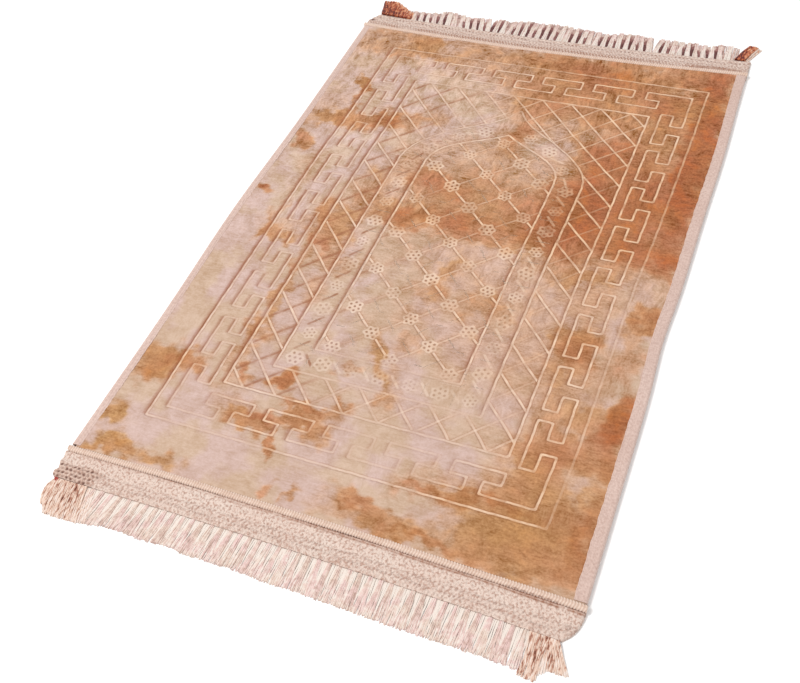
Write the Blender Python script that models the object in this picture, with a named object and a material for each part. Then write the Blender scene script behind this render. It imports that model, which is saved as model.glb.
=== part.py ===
"""Padded prayer rug: pressed velvet pad, bound sides, and a fringed trim sewn to each end.

Sizes are in millimetres and MM turns them to metres. X runs across the rug, Y runs to its
far end and Z is up. The rug lies on z = 0. In a trim, s is the distance out from the
line where the velvet ends.
"""
import math
from collections import namedtuple

import bpy
import numpy as np
from mathutils import Vector
from mathutils.geometry import delaunay_2d_cdt

MM = 0.001
GAP = 0.3                      # clearance between two sewn pieces

Swell = namedtuple("Swell", "rise centre width")    # a smooth bump along an edge

# The rug's outline
HALF_WIDTH = 350.0             # where the end lines' formulas are scaled
LEFT_EDGE = 355.0              # distance from the middle to the left side
LEFT_BOW = Swell(6.0, -30.0, 170.0)
RIGHT_EDGE = 349.5
RIGHT_BULGE = Swell(2.5, 290.0, 110.0)
RIGHT_WAIST = Swell(-4.0, -110.0, 70.0)
NEAR_END = 508.0               # from the centre to the velvet's near end
NEAR_SLANT = 2.5               # how much lower the near end's right corner lies
NEAR_BOW = 4.5                 # how far its middle is drawn in
FAR_END = 492.0
FAR_HOLLOW = 11.0              # how far the far end's middle is drawn in
STATIONS = 16                  # steps along each edge

# The pad
PAD_TOP = 10.0                 # velvet surface above the floor
CRUSHED_TOP = 9.0              # pile pressed down under the side tape
GROOVE_DEPTH = 1.6
GROOVE_HALF = 2.0              # half the width of a pressed line
ROSETTE_RADIUS = 11.0
ROSETTE_DEPTH = 1.2

# The side tapes, folded round the pad's edges
TAPE_TOP_LEFT = 9.5            # width that shows on top
TAPE_TOP_RIGHT = 16.0
TAPE_UNDER = 13.5
TAPE_END_GAP = 0.8             # from a tape's end to the trim

# The trim's parts, as distances s out from the velvet
CORD_S = 5.3                   # middle of the corded roll
CORD_Z = 7.3
CORD_RADIUS = 5.0
CORD_WAVE = 0.25               # how far its thickness wanders, and in how many radians
CORD_WAVES = 23.0
CORD_FACETS = 8
BAND_END = 49.5                # outer edge of the woven band
STRIP_IN = BAND_END + GAP      # knotted strip that holds the fringe
STRIP_OUT = 53.3
STRIP_TOP = 4.4
Fold = namedtuple("Fold", "x0 x1 s0 s1 rise")
NEAR_FOLD = Fold(-352.0, -306.0, 28.0, 47.0, 2.2)    # the band's end, turned back
FOLD_LIP = 1.4                 # from the fold's top to the crease round it
FOLD_CLEAR = 4.0               # from the fold to the lines along the band

# The fringe
LOCK_PITCH = 13.6
FRINGE_LENGTH = 44.0
STRAND_WIDTH = 4.4
LENGTH_JITTER = 2.5
STRAND_HEIGHT = 3.6
HALF_SPREAD = (2.6, 2.9, 3.25)    # a lock's half spread at its root, waist and tip
NEAR_COMB = Swell(-10.0, -330.0, 260.0)    # how far the tips are combed sideways
FAR_COMB = Swell(-8.0, -210.0, 150.0)
FAR_PARTINGS = (-130.0, 178.0)
PARTING_PUSH = 4.5
PARTING_REACH = 60.0
SEED = 7

# The pressed pattern, in its own coordinates u (across) and v (along)
PATTERN_Y = 4.0                # the pattern's middle on the rug
PATTERN_X = 0.5
PATTERN_SLANT = 0.0188         # sideways shift for each millimetre along the rug
PATTERN_CURVE = 1.2e-5         # and for its square
PATTERN_SCALE = 0.997          # width at the middle
PATTERN_WIDEN = 2.0e-5         # gain in width for each millimetre along the rug
FRAME_U, FRAME_V = 287.0, 442.0
KEY_OUT_U, KEY_OUT_V = 265.5, 420.0
KEY_BAND = 40.0                # width of the key border
INNER_U, INNER_V = 207.5, 357.0
ROW_PITCH, ROW_GAPS, ROW_BAR = 90.0, 5, 34.0
COLUMN_PITCH, COLUMN_GAPS, COLUMN_BAR = 94.0, 8, 38.0
KEY_GAP = 11.0                 # half the gap between two outer bars
LATTICE_PITCH = 51.0
ARCH_OUT_U, ARCH_OUT_BASE = 153.0, -310.0
ARCH_IN_U, ARCH_IN_BASE = 108.5, -266.0
ROSETTE_U, ROSETTE_V = 44.0, 40.35
ROSETTE_ROW = 67.6             # v of one row of rosettes with a rosette on the centre line
ROSETTE_CLEAR = 3.0            # from a rosette to the short lines round it
BAND_ROSETTE_PITCH = 47.5
BAND_ROSETTE_ROWS = 10

Spot = namedtuple("Spot", "u v")
CROWN_ROSETTES = [Spot(112.0, 188.0), Spot(78.0, 229.0), Spot(38.0, 253.0)]

Crown = namedtuple("Crown", "share v")      # share of the arch's half width, and height
OUTER_CROWN = [Crown(1.0, 155), Crown(0.985, 172), Crown(0.945, 187), Crown(0.88, 203),
               Crown(0.79, 218), Crown(0.68, 233), Crown(0.50, 254), Crown(0.34, 270),
               Crown(0.21, 283), Crown(0.10, 299), Crown(0.0, 320)]
INNER_CROWN = [Crown(1.0, 155), Crown(0.985, 170), Crown(0.93, 184), Crown(0.85, 195),
               Crown(0.74, 206), Crown(0.52, 221), Crown(0.33, 232), Crown(0.15, 243),
               Crown(0.0, 255)]

EndPoint = namedtuple("EndPoint", "s x")    # outline of a band's short end
BandEnds = namedtuple("BandEnds", "left right")
NEAR_ENDS = BandEnds(
    left=[EndPoint(0.3, -357.5), EndPoint(9.2, -360), EndPoint(12.6, -361), EndPoint(23, -361),
          EndPoint(29, -357.5), EndPoint(38, -360), EndPoint(49.5, -353)],
    right=[EndPoint(0.3, 351), EndPoint(9.2, 352.2), EndPoint(12.6, 352.5), EndPoint(22, 351),
           EndPoint(33, 346), EndPoint(42, 339), EndPoint(49.5, 331.5)])
FAR_ENDS = BandEnds(
    left=[EndPoint(0.3, -355.5), EndPoint(9.2, -356.2), EndPoint(12.6, -356.5),
          EndPoint(21, -353), EndPoint(34, -349), EndPoint(49.5, -346)],
    right=[EndPoint(0.3, 350.5), EndPoint(9.2, 350.4), EndPoint(12.6, 350.3),
           EndPoint(20, 350), EndPoint(34, 347), EndPoint(49.5, 344)])

BandHeight = namedtuple("BandHeight", "s z")
BAND_PROFILE = [BandHeight(0.3, 1.9), BandHeight(9.2, 1.9), BandHeight(11.0, 3.6),
                BandHeight(12.6, 5.9), BandHeight(20.0, 6.8), BandHeight(29.0, 5.9),
                BandHeight(34.0, 6.3), BandHeight(38.5, 4.9), BandHeight(43.0, 4.9),
                BandHeight(49.5, 4.4)]
KNOT_S = 43.0
KNOT_RISE = 1.4
END_DROP = 0.75                # height left at a band's short end
END_CLEAR = 1.8                # from a short end to the lines along the band

Tail = namedtuple("Tail", "strands root waist tip reach width height")
Tassel = namedtuple("Tassel", "name side strip top tails")
TASSELS = [
    Tassel("tassel_near_left", -1, (-356.5, -302.0), 6.0,
           [Tail(11, (-353, -305), (-356, -308), (-357, -314), (40, 47), 4.0, 6.2)]),
    Tassel("tassel_near_right", -1, (300.3, 331.0), 6.5,
           [Tail(5, (303, 313), (304.5, 314), (300, 322), (51, 53), 2.2, 6.5),
            Tail(5, (317, 328), (318, 328), (334, 350), (36, 36), 2.2, 6.5)]),
    Tassel("tassel_far_left", 1, (-345.5, -288.0), 6.0,
           [Tail(11, (-342, -292), (-345, -294), (-352, -300), (50, 40), 4.0, 7.5)]),
    Tassel("tassel_far_right", 1, (321.5, 344.0), 6.0,
           [Tail(3, (326, 340), (330.5, 345.5), (338.5, 352.5), (50, 44), 5.0, 8.0)]),
]
NEAR_FRINGE = (-301.7, 300.0)
FAR_FRINGE = (-287.7, 321.2)

COLOURS = {
    "velvet": (0.62, 0.35, 0.22),
    "tape": (0.76, 0.60, 0.53),
    "cord": (0.83, 0.66, 0.55),
    "band": (0.78, 0.61, 0.54),
    "yarn": (0.80, 0.62, 0.56),
    "dark_yarn": (0.48, 0.24, 0.15),
}


# ---------------------------------------------------------------- outline

def swelling(swell, t):
    return swell.rise * np.exp(-((t - swell.centre) / swell.width) ** 2)


def left_edge(y):
    return -(LEFT_EDGE + swelling(LEFT_BOW, y))


def right_edge(y):
    return RIGHT_EDGE + swelling(RIGHT_BULGE, y) + swelling(RIGHT_WAIST, y)


def near_line(x):
    """Y of the velvet's near end."""
    t = x / HALF_WIDTH
    return -(NEAR_END + NEAR_SLANT * t + NEAR_BOW * t * t)


def far_line(x):
    """Y of the velvet's far end."""
    t = x / HALF_WIDTH
    return FAR_END + FAR_HOLLOW * t * t


def out_from(side, x, s):
    """Y at a distance s outside the velvet, at the near (-1) or the far (+1) end."""
    return near_line(x) - s if side < 0 else far_line(x) + s


def out_of(side, x, y):
    """The distance s of a place outside the velvet."""
    return near_line(x) - y if side < 0 else y - far_line(x)


def steps(first, last):
    """Evenly spaced values along one edge."""
    return np.linspace(first, last, STATIONS + 1)


# ---------------------------------------------------------------- mesh helpers

def clear_scene():
    for thing in list(bpy.data.objects):
        bpy.data.objects.remove(thing, do_unlink=True)


def material(name, roughness=0.9):
    made = bpy.data.materials.get(name) or bpy.data.materials.new(name)
    made.use_nodes = True
    shader = made.node_tree.nodes["Principled BSDF"]
    shader.inputs["Base Color"].default_value = (*COLOURS[name], 1.0)
    shader.inputs["Roughness"].default_value = roughness
    shader.inputs["Metallic"].default_value = 0.0
    return made


def add_piece(name, points, faces, finish, smooth_angle=None):
    """Make an object from points in millimetres."""
    mesh = bpy.data.meshes.new(name)
    mesh.from_pydata((np.asarray(points) * MM).tolist(), [], faces)
    mesh.update()
    piece = bpy.data.objects.new(name, mesh)
    bpy.context.collection.objects.link(piece)
    mesh.materials.append(material(finish))
    if smooth_angle is not None:
        mesh.shade_smooth()
        mesh.set_sharp_from_angle(angle=math.radians(smooth_angle))
    return piece


def wall(upper, lower):
    """Quads between two closed rings of point numbers, counter-clockwise from above."""
    count = len(upper)
    return [(upper[i], lower[i], lower[(i + 1) % count], upper[(i + 1) % count])
            for i in range(count)]


def relief_solid(name, rings, lines, height, finish):
    """A slab whose top follows height(x, y), with the given lines as its creases.

    rings are closed outlines from the top edge down to the floor, each an array of points.
    """
    rim = rings[0]
    flat = [Vector((p[0], p[1])) for p in rim]
    edges = [(i, (i + 1) % len(rim)) for i in range(len(rim))]
    for line, closed in lines:
        first = len(flat)
        flat += [Vector((p[0], p[1])) for p in line]
        last = len(flat) - 1
        edges += [(i, i + 1) for i in range(first, last)]
        if closed:
            edges.append((last, first))
    found, _, triangles, sources, _, _ = delaunay_2d_cdt(flat, edges, [], 1, 0.05)
    place = {source: i for i, group in enumerate(sources) for source in group}
    xy = np.array([(p.x, p.y) for p in found])
    z = height(xy[:, 0], xy[:, 1])
    z[[place[i] for i in range(len(rim))]] = rim[:, 2]
    points = [np.column_stack([xy, z])]
    faces = [tuple(t) for t in triangles]
    upper = [place[i] for i in range(len(rim))]
    total = len(xy)
    for ring in rings[1:]:
        lower = list(range(total, total + len(ring)))
        points.append(ring)
        total += len(ring)
        faces += wall(upper, lower)
        upper = lower
    faces.append(tuple(reversed(upper)))
    return add_piece(name, np.vstack(points), faces, finish)


def swept(name, sections, finish, smooth_angle=None):
    """Join equal closed sections, an array (rows, points, 3), into one capped solid."""
    rows, count, _ = sections.shape
    faces = []
    for j in range(rows - 1):
        for i in range(count):
            k = (i + 1) % count
            a, b = j * count, (j + 1) * count
            faces.append((a + i, a + k, b + k, b + i))
    faces.append(tuple(reversed(range(count))))
    faces.append(tuple(range((rows - 1) * count, rows * count)))
    return add_piece(name, sections.reshape(-1, 3), faces, finish, smooth_angle)


# ---------------------------------------------------------------- pressed pattern

def on_rug(points):
    """Lay pattern coordinates on the rug, where the whole pattern leans a little."""
    u, v = np.asarray(points, dtype=float).T
    y = v + PATTERN_Y
    middle = PATTERN_X + PATTERN_SLANT * y + PATTERN_CURVE * y * y
    return np.column_stack([u * (PATTERN_SCALE + PATTERN_WIDEN * y) + middle, y])


def rectangle(half_u, half_v):
    return [(-half_u, -half_v), (half_u, -half_v), (half_u, half_v), (-half_u, half_v)]


def key_side(gaps, pitch, bar, length):
    """One side of the key as (t, level): level 0 is the outer line and 2 the inner one."""
    side = []
    for k in range(gaps):
        middle = (k - (gaps - 1) / 2) * pitch
        side += [(middle - KEY_GAP, 0), (middle - KEY_GAP, 1), (middle - bar, 1),
                 (middle - bar, 2), (middle + bar, 2), (middle + bar, 1),
                 (middle + KEY_GAP, 1), (middle + KEY_GAP, 0)]
    return side + [(length, 0)]


def key_border():
    """The closed line of linked T shapes between the two frames."""
    row = key_side(ROW_GAPS, ROW_PITCH, ROW_BAR, KEY_OUT_U)
    column = key_side(COLUMN_GAPS, COLUMN_PITCH, COLUMN_BAR, KEY_OUT_V)
    step = KEY_BAND / 2
    path = [(t, KEY_OUT_V - level * step) for t, level in row]
    path += [(KEY_OUT_U - level * step, -t) for t, level in column]
    path += [(-t, -KEY_OUT_V + level * step) for t, level in row]
    path += [(-KEY_OUT_U + level * step, t) for t, level in column]
    return path


def arch(half, base, crown):
    """A niche: straight sides, round shoulders and a pointed top."""
    right = [(half * c.share, c.v) for c in crown]
    left = [(-u, v) for u, v in reversed(right[:-1])]
    return [(-half, base), (half, base)] + right + left


def inside(point, polygon):
    x, y = point
    odd = False
    for (x0, y0), (x1, y1) in zip(polygon, polygon[1:] + polygon[:1]):
        if (y0 > y) != (y1 > y) and x < x0 + (y - y0) * (x1 - x0) / (y1 - y0):
            odd = not odd
    return odd


def crossings(a, b, polygon):
    """Shares along a-b where it crosses the polygon's sides."""
    found = []
    for (x0, y0), (x1, y1) in zip(polygon, polygon[1:] + polygon[:1]):
        dx, dy = b[0] - a[0], b[1] - a[1]
        ex, ey = x1 - x0, y1 - y0
        det = dx * ey - dy * ex
        if abs(det) < 1e-9:
            continue
        t = ((x0 - a[0]) * ey - (y0 - a[1]) * ex) / det
        w = ((x0 - a[0]) * dy - (y0 - a[1]) * dx) / det
        if 0 < t < 1 and 0 <= w <= 1:
            found.append(t)
    return found


def between(a, b, share):
    return a[0] + share * (b[0] - a[0]), a[1] + share * (b[1] - a[1])


def clipped(a, b, inner, outer):
    """The stretches of a-b inside outer and outside inner (either may be None)."""
    cuts = [0.0, 1.0]
    for polygon in (inner, outer):
        if polygon:
            cuts += crossings(a, b, polygon)
    cuts.sort()
    kept = []
    for t0, t1 in zip(cuts, cuts[1:]):
        middle = between(a, b, (t0 + t1) / 2)
        long_enough = (t1 - t0) * math.dist(a, b) > 3 * GROOVE_HALF
        fits = (not outer or inside(middle, outer)) and not (inner and inside(middle, inner))
        if long_enough and fits:
            kept.append((between(a, b, t0), between(a, b, t1)))
    return kept


def lattice(niche):
    """Two families of diagonals between the niche and the inner frame."""
    frame = rectangle(INNER_U, INNER_V)
    highest = INNER_V + LATTICE_PITCH * 4.5
    count = int(2 * (INNER_U + INNER_V) / LATTICE_PITCH) + 1
    reach = INNER_U + 1.0
    pieces = []
    for k in range(count):
        level = highest - LATTICE_PITCH * k
        pieces += clipped((-reach, level + reach), (reach, level - reach), niche, frame)
        pieces += clipped((-reach, level - reach), (reach, level + reach), niche, frame)
    return pieces


def panel_rosettes(niche):
    """Rosette centres in the niche, in staggered rows."""
    spots = []
    widest = ARCH_IN_U - ROSETTE_RADIUS
    for row in range(-8, 5):
        for column in range(-2, 3):
            spot = Spot((2 * column + row % 2) * ROSETTE_U, ROSETTE_ROW + row * ROSETTE_V)
            if abs(spot.u) < widest and inside(spot, niche):
                spots.append(spot)
    return spots


def panel_trellis(spots, niche):
    """Short diagonals that join each rosette to its neighbours."""
    pieces = []
    start = (ROSETTE_RADIUS + ROSETTE_CLEAR) / math.hypot(ROSETTE_U, ROSETTE_V)
    for spot in spots:
        for way in (-1, 1):
            below = (spot.u + way * ROSETTE_U, spot.v - ROSETTE_V)
            first, last = between(spot, below, start), between(spot, below, 1 - start)
            pieces += clipped(first, last, None, niche)
    return pieces


def band_rosettes():
    """Rosettes that climb the border between the two niche lines and cross its foot."""
    middle = (ARCH_OUT_U + ARCH_IN_U) / 2
    foot = (ARCH_OUT_BASE + ARCH_IN_BASE) / 2
    spots = []
    for side in (-1, 1):
        spots += [Spot(side * middle, foot + BAND_ROSETTE_PITCH * k)
                  for k in range(BAND_ROSETTE_ROWS)]
        spots += [Spot(side * spot.u, spot.v) for spot in CROWN_ROSETTES]
    between_corners = np.linspace(-middle, middle, 7)[1:-1]
    return spots + [Spot(u, foot) for u in between_corners]


def groove_lines(path, closed):
    """The middle and both lips of a pressed line, offset square to it with mitred corners."""
    p = np.asarray(path, dtype=float)
    before = np.roll(p, 1, axis=0) if closed else np.vstack([2 * p[0] - p[1], p[:-1]])
    after = np.roll(p, -1, axis=0) if closed else np.vstack([p[1:], 2 * p[-1] - p[-2]])
    t0 = (p - before) / np.linalg.norm(p - before, axis=1)[:, None]
    t1 = (after - p) / np.linalg.norm(after - p, axis=1)[:, None]
    n0 = np.column_stack([-t0[:, 1], t0[:, 0]])
    n1 = np.column_stack([-t1[:, 1], t1[:, 0]])
    mitre = (n0 + n1) / (1.0 + np.sum(n0 * n1, axis=1))[:, None]
    return [p, p + GROOVE_HALF * mitre, p - GROOVE_HALF * mitre]


def distance_to(x, y, segments):
    """Distance from every point to the nearest of the segments, arrays (count, 4)."""
    nearest = np.full(len(x), 1e9)
    for x0, y0, x1, y1 in segments:
        dx, dy = x1 - x0, y1 - y0
        t = np.clip(((x - x0) * dx + (y - y0) * dy) / (dx * dx + dy * dy), 0.0, 1.0)
        nearest = np.minimum(nearest, np.hypot(x - x0 - t * dx, y - y0 - t * dy))
    return nearest


def pressed_pattern():
    """All creases of the velvet, the middle lines of its grooves, and the rosettes."""
    niche = arch(ARCH_OUT_U, ARCH_OUT_BASE, OUTER_CROWN)
    panel = arch(ARCH_IN_U, ARCH_IN_BASE, INNER_CROWN)
    closed = [rectangle(FRAME_U, FRAME_V), key_border(), rectangle(INNER_U, INNER_V),
              niche, panel]
    spots = panel_rosettes(panel)
    short = lattice(niche) + panel_trellis(spots, panel)
    creases = []
    segments = []
    for path, is_closed in [(c, True) for c in closed] + [(s, False) for s in short]:
        laid = on_rug(path)
        creases += [(line, is_closed) for line in groove_lines(laid, is_closed)]
        ends = np.roll(laid, -1, axis=0) if is_closed else laid[1:]
        starts = laid if is_closed else laid[:-1]
        segments.append(np.hstack([starts, ends]))
    rosettes = on_rug(spots + band_rosettes())
    turn = np.arange(6) * math.pi / 3
    for x, y in rosettes:
        ring = np.column_stack([x + ROSETTE_RADIUS * np.cos(turn),
                                y + ROSETTE_RADIUS * np.sin(turn)])
        creases.append((ring, True))
        creases += [(np.array([(x, y), corner]), False) for corner in ring]
    return creases, np.vstack(segments), rosettes


# ---------------------------------------------------------------- pieces

PadRing = namedtuple("PadRing", "side_in side_z end_in end_z corner_z")
TOP_RINGS = [PadRing(1.2, PAD_TOP, 5.0, PAD_TOP, PAD_TOP),
             PadRing(0.3, CRUSHED_TOP, 2.0, 9.3, CRUSHED_TOP)]
COVERED_RINGS = [PadRing(4.0, CRUSHED_TOP, 0.4, 8.0, 8.0), PadRing(1.5, 7.0, 0.0, 6.5, 6.5),
                 PadRing(1.5, 3.4, 0.0, 3.4, 3.4), PadRing(4.0, 1.4, 0.0, 1.4, 1.4),
                 PadRing(15.0, 1.4, 0.0, 0.6, 1.4), PadRing(16.5, 0.0, 0.5, 0.0, 0.0)]


def pad_rings():
    """Outlines of the pad from its top edge to its underside."""
    rings = [pad_ring(row, TAPE_TOP_LEFT + row.side_in, TAPE_TOP_RIGHT + row.side_in)
             for row in TOP_RINGS]
    return rings + [pad_ring(row, row.side_in, row.side_in) for row in COVERED_RINGS]


def pad_ring(row, inset_left, inset_right):
    """One closed outline, counter-clockwise from the near left corner."""
    near_x = steps(left_edge(-NEAR_END) + inset_left, right_edge(-NEAR_END) - inset_right)
    far_x = steps(right_edge(FAR_END) - inset_right, left_edge(FAR_END) + inset_left)
    near_y = near_line(near_x) + row.end_in
    far_y = far_line(far_x) - row.end_in
    right_y = steps(near_y[-1], far_y[0])[1:-1]
    left_y = steps(far_y[-1], near_y[0])[1:-1]
    end_z = np.full(len(near_x), row.end_z)
    end_z[[0, -1]] = row.corner_z
    side_z = np.full(len(right_y), row.side_z)
    return np.vstack([np.column_stack([near_x, near_y, end_z]),
                      np.column_stack([right_edge(right_y) - inset_right, right_y, side_z]),
                      np.column_stack([far_x, far_y, end_z]),
                      np.column_stack([left_edge(left_y) + inset_left, left_y, side_z])])


def make_pad():
    creases, segments, rosettes = pressed_pattern()

    def height(x, y):
        groove = np.clip(1.0 - distance_to(x, y, segments) / GROOVE_HALF, 0.0, 1.0)
        away = np.full(len(x), 1e9)
        for rosette_x, rosette_y in rosettes:
            away = np.minimum(away, np.hypot(x - rosette_x, y - rosette_y))
        cup = np.clip(1.0 - away / ROSETTE_RADIUS, 0.0, 1.0)
        return PAD_TOP - np.maximum(GROOVE_DEPTH * groove, ROSETTE_DEPTH * cup)

    return relief_solid("velvet_pad", pad_rings(), creases, height, "velvet")


def tape_profile(top_width):
    """Section of a tape folded round the edge, as (distance in from the edge, z)."""
    outer = [(TAPE_UNDER, 0.0), (2.6, 0.0), (0.6, 1.6), (0.0, 4.0), (0.0, 6.8), (0.8, 9.2),
             (3.0, 10.4), (top_width, 10.4)]
    inner = [(top_width, 9.3), (3.6, 9.3), (1.15, 7.2), (1.15, 3.2), (3.7, 1.1),
             (TAPE_UNDER, 1.1)]
    return outer + inner


def make_tape(name, side, top_width):
    """A side tape, from one trim to the other."""
    edge = left_edge if side < 0 else right_edge
    first = near_line(side * HALF_WIDTH) + TAPE_END_GAP
    last = far_line(side * HALF_WIDTH) - TAPE_END_GAP
    profile = tape_profile(top_width)
    if side < 0:
        profile.reverse()
    sections = [[(edge(y) - side * d, y, z) for d, z in profile] for y in steps(last, first)]
    return swept(name, np.array(sections), "tape")


def make_cord(name, side, x_first, x_last):
    """The corded roll that covers the velvet's cut end."""
    turn = (np.arange(CORD_FACETS) + 0.5) * 2 * math.pi / CORD_FACETS
    sections = []
    for x, phase in zip(steps(x_first, x_last), steps(0.0, CORD_WAVES)):
        radius = CORD_RADIUS - CORD_WAVE * (0.5 + 0.5 * math.sin(phase + side))
        y = out_from(side, x, CORD_S) + radius * np.cos(turn)
        z = CORD_Z + radius * np.sin(turn)
        sections.append(np.column_stack([np.full(CORD_FACETS, x), y, z]))
    return swept(name, np.array(sections), "cord", smooth_angle=60)


def across_end(ends, side, s):
    """X of a band's short end at the distance s."""
    table = ends.left if side < 0 else ends.right
    return float(np.interp(s, [p.s for p in table], [p.x for p in table]))


def band_rim(side, ends, height):
    """The band's upper edge, counter-clockwise from above; its short ends lie lower."""
    s_in = ends.left[0].s
    inner_x = steps(across_end(ends, -1, s_in), across_end(ends, 1, s_in))
    outer_x = steps(across_end(ends, 1, BAND_END), across_end(ends, -1, BAND_END))
    rows = [(x, s_in, 1.0) for x in inner_x]
    rows += [(p.x, p.s, END_DROP) for p in ends.right[1:-1]]
    rows += [(x, BAND_END, 1.0) for x in outer_x]
    rows += [(p.x, p.s, END_DROP) for p in reversed(ends.left[1:-1])]
    x, s, share = np.array(rows if side > 0 else rows[::-1]).T
    y = out_from(side, x, s)
    return np.column_stack([x, y, height(x, y) * share])


def lock_centres(span):
    count = int((span[1] - span[0]) / LOCK_PITCH)
    spare = (span[1] - span[0] - count * LOCK_PITCH) / 2
    return span[0] + spare + LOCK_PITCH * (np.arange(count) + 0.5)


def band_creases(side, ends, knots, fold):
    """The bends along the band, the ridge of its knots and the turned-back patch."""
    clear_of_fold = fold.x1 + FOLD_CLEAR if fold else -math.inf
    lines = []
    for s in [p.s for p in BAND_PROFILE[1:-1] if p.s != KNOT_S]:
        x = steps(across_end(ends, -1, s) + END_CLEAR, across_end(ends, 1, s) - END_CLEAR)
        if fold and s > fold.s0:
            x = x[x > clear_of_fold]
        lines.append((np.column_stack([x, out_from(side, x, s)]), False))
    ridge = np.sort(np.concatenate([knots - LOCK_PITCH / 2, knots]))
    ridge = ridge[ridge > clear_of_fold]
    lines.append((np.column_stack([ridge, out_from(side, ridge, KNOT_S)]), False))
    return lines + (fold_lines(side, fold) if fold else [])


def fold_lines(side, fold):
    """The raised patch of the fold and the crease round it."""
    lines = []
    for lip in (0.0, FOLD_LIP):
        x = np.array([fold.x0 - lip, (fold.x0 + fold.x1) / 2, fold.x1 + lip])
        s = np.array([fold.s0 - lip, (fold.s0 + fold.s1) / 2, fold.s1 + lip])
        around_x = x[[0, 1, 2, 2, 2, 1, 0, 0]]
        around_s = s[[0, 0, 0, 1, 2, 2, 2, 1]]
        lines.append((np.column_stack([around_x, out_from(side, around_x, around_s)]), True))
    return lines


def make_band(name, side, ends, fringe, fold):
    """The woven band of the trim, with a row of knots and, at one end, a turned-back fold."""
    knots = lock_centres(fringe)

    def height(x, y):
        s = out_of(side, x, y)
        z = np.interp(s, [p.s for p in BAND_PROFILE], [p.z for p in BAND_PROFILE])
        from_knot = np.min(np.abs(x[:, None] - knots[None, :]), axis=1)
        z += KNOT_RISE * ((np.abs(s - KNOT_S) < 0.5) & (from_knot < 1.0))
        if fold:
            within_x = np.abs(x - (fold.x0 + fold.x1) / 2) < (fold.x1 - fold.x0) / 2 + 0.1
            within_s = np.abs(s - (fold.s0 + fold.s1) / 2) < (fold.s1 - fold.s0) / 2 + 0.1
            z += fold.rise * (within_x & within_s)
        return z

    rim = band_rim(side, ends, height)
    foot = rim * np.array([1.0, 1.0, 0.0])
    creases = band_creases(side, ends, knots, fold)
    return relief_solid(name, [rim, foot], creases, height, "band")


Strand = namedtuple("Strand", "root waist tip reach root_width waist_width tip_width height")


def strip_faces(low, high, back_low, back_high):
    """Faces of a strip, with every second stretch of its front left open for a strand."""
    faces = [tuple(high) + tuple(reversed(back_high)), tuple(back_low) + tuple(reversed(low))]
    faces += [(back_low[i + 1], back_low[i], back_high[i], back_high[i + 1])
              for i in range(len(back_low) - 1)]
    faces.append((back_low[0], low[0], high[0], back_high[0]))
    faces.append((low[-1], back_low[-1], back_high[-1], high[-1]))
    faces += [(low[k], low[k + 1], high[k + 1], high[k]) for k in range(0, len(low) - 1, 2)]
    return faces


def add_strand(points, faces, side, root, strand):
    """Grow a strand from the four points of its root to its waist and its tip."""
    ring = root
    for share, x, width, tall in [(0.5, strand.waist, strand.waist_width, strand.height),
                                  (1.0, strand.tip, strand.tip_width, strand.height * 0.5)]:
        s = STRIP_OUT + share * strand.reach
        foot, crest = width / 2, width * 0.34
        first = len(points)
        corners = [(x - foot, 0.0), (x + foot, 0.0), (x + crest, tall), (x - crest, tall)]
        points += [(cx, out_from(side, cx, s), cz) for cx, cz in corners]
        after = list(range(first, first + 4))
        faces += [(ring[i], ring[(i + 1) % 4], after[(i + 1) % 4], after[i]) for i in range(4)]
        ring = after
    faces.append(tuple(ring))


def fringed_strip(name, side, span, top, strands, finish):
    """A knotted strip along the band with strands that leave its outer face and lie flat."""
    front = [span[0]]
    for strand in strands:
        front += [strand.root - strand.root_width / 2, strand.root + strand.root_width / 2]
    front.append(span[1])
    back = np.linspace(span[0], span[1], max(2, len(front) // 6))
    points = []
    rows = []
    for xs, s, z in [(front, STRIP_OUT, 0.0), (front, STRIP_OUT, top),
                     (back, STRIP_IN, 0.0), (back, STRIP_IN, top)]:
        rows.append(range(len(points), len(points) + len(xs)))
        points += [(x, out_from(side, x, s), z) for x in xs]
    faces = strip_faces(*rows)
    low, high = rows[0], rows[1]
    for k, strand in enumerate(strands):
        root = [low[2 * k + 1], low[2 * k + 2], high[2 * k + 2], high[2 * k + 1]]
        add_strand(points, faces, side, root, strand)
    if side > 0:
        faces = [tuple(reversed(face)) for face in faces]
    return add_piece(name, points, faces, finish)


def lean(side, x):
    """How far the tips are combed sideways; the far fringe also parts at two places."""
    if side < 0:
        return swelling(NEAR_COMB, x)
    parting = sum(PARTING_PUSH * np.sign(x - gap) * math.exp(-abs(x - gap) / PARTING_REACH)
                  for gap in FAR_PARTINGS)
    return swelling(FAR_COMB, x) + parting


def fringe_strands(side, span):
    """Two strands to a lock, close at the knot and spread at the tip."""
    rng = np.random.default_rng(SEED + side)
    at_root, at_waist, at_tip = HALF_SPREAD
    strands = []
    for x in lock_centres(span):
        reach = FRINGE_LENGTH + LENGTH_JITTER * (rng.random() * 2 - 1) + 1.5 * math.sin(x / 37.0)
        comb = lean(side, x)
        for half in (-1, 1):
            stray = 0.35 * (rng.random() * 2 - 1)
            strands.append(Strand(
                root=x + half * at_root, waist=x + half * at_waist + 0.45 * comb,
                tip=x + half * at_tip + comb + stray, reach=reach - 1.5 * rng.random(),
                root_width=STRAND_WIDTH - 0.2, waist_width=STRAND_WIDTH + 0.4,
                tip_width=STRAND_WIDTH + 0.7, height=STRAND_HEIGHT))
    return strands


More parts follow.
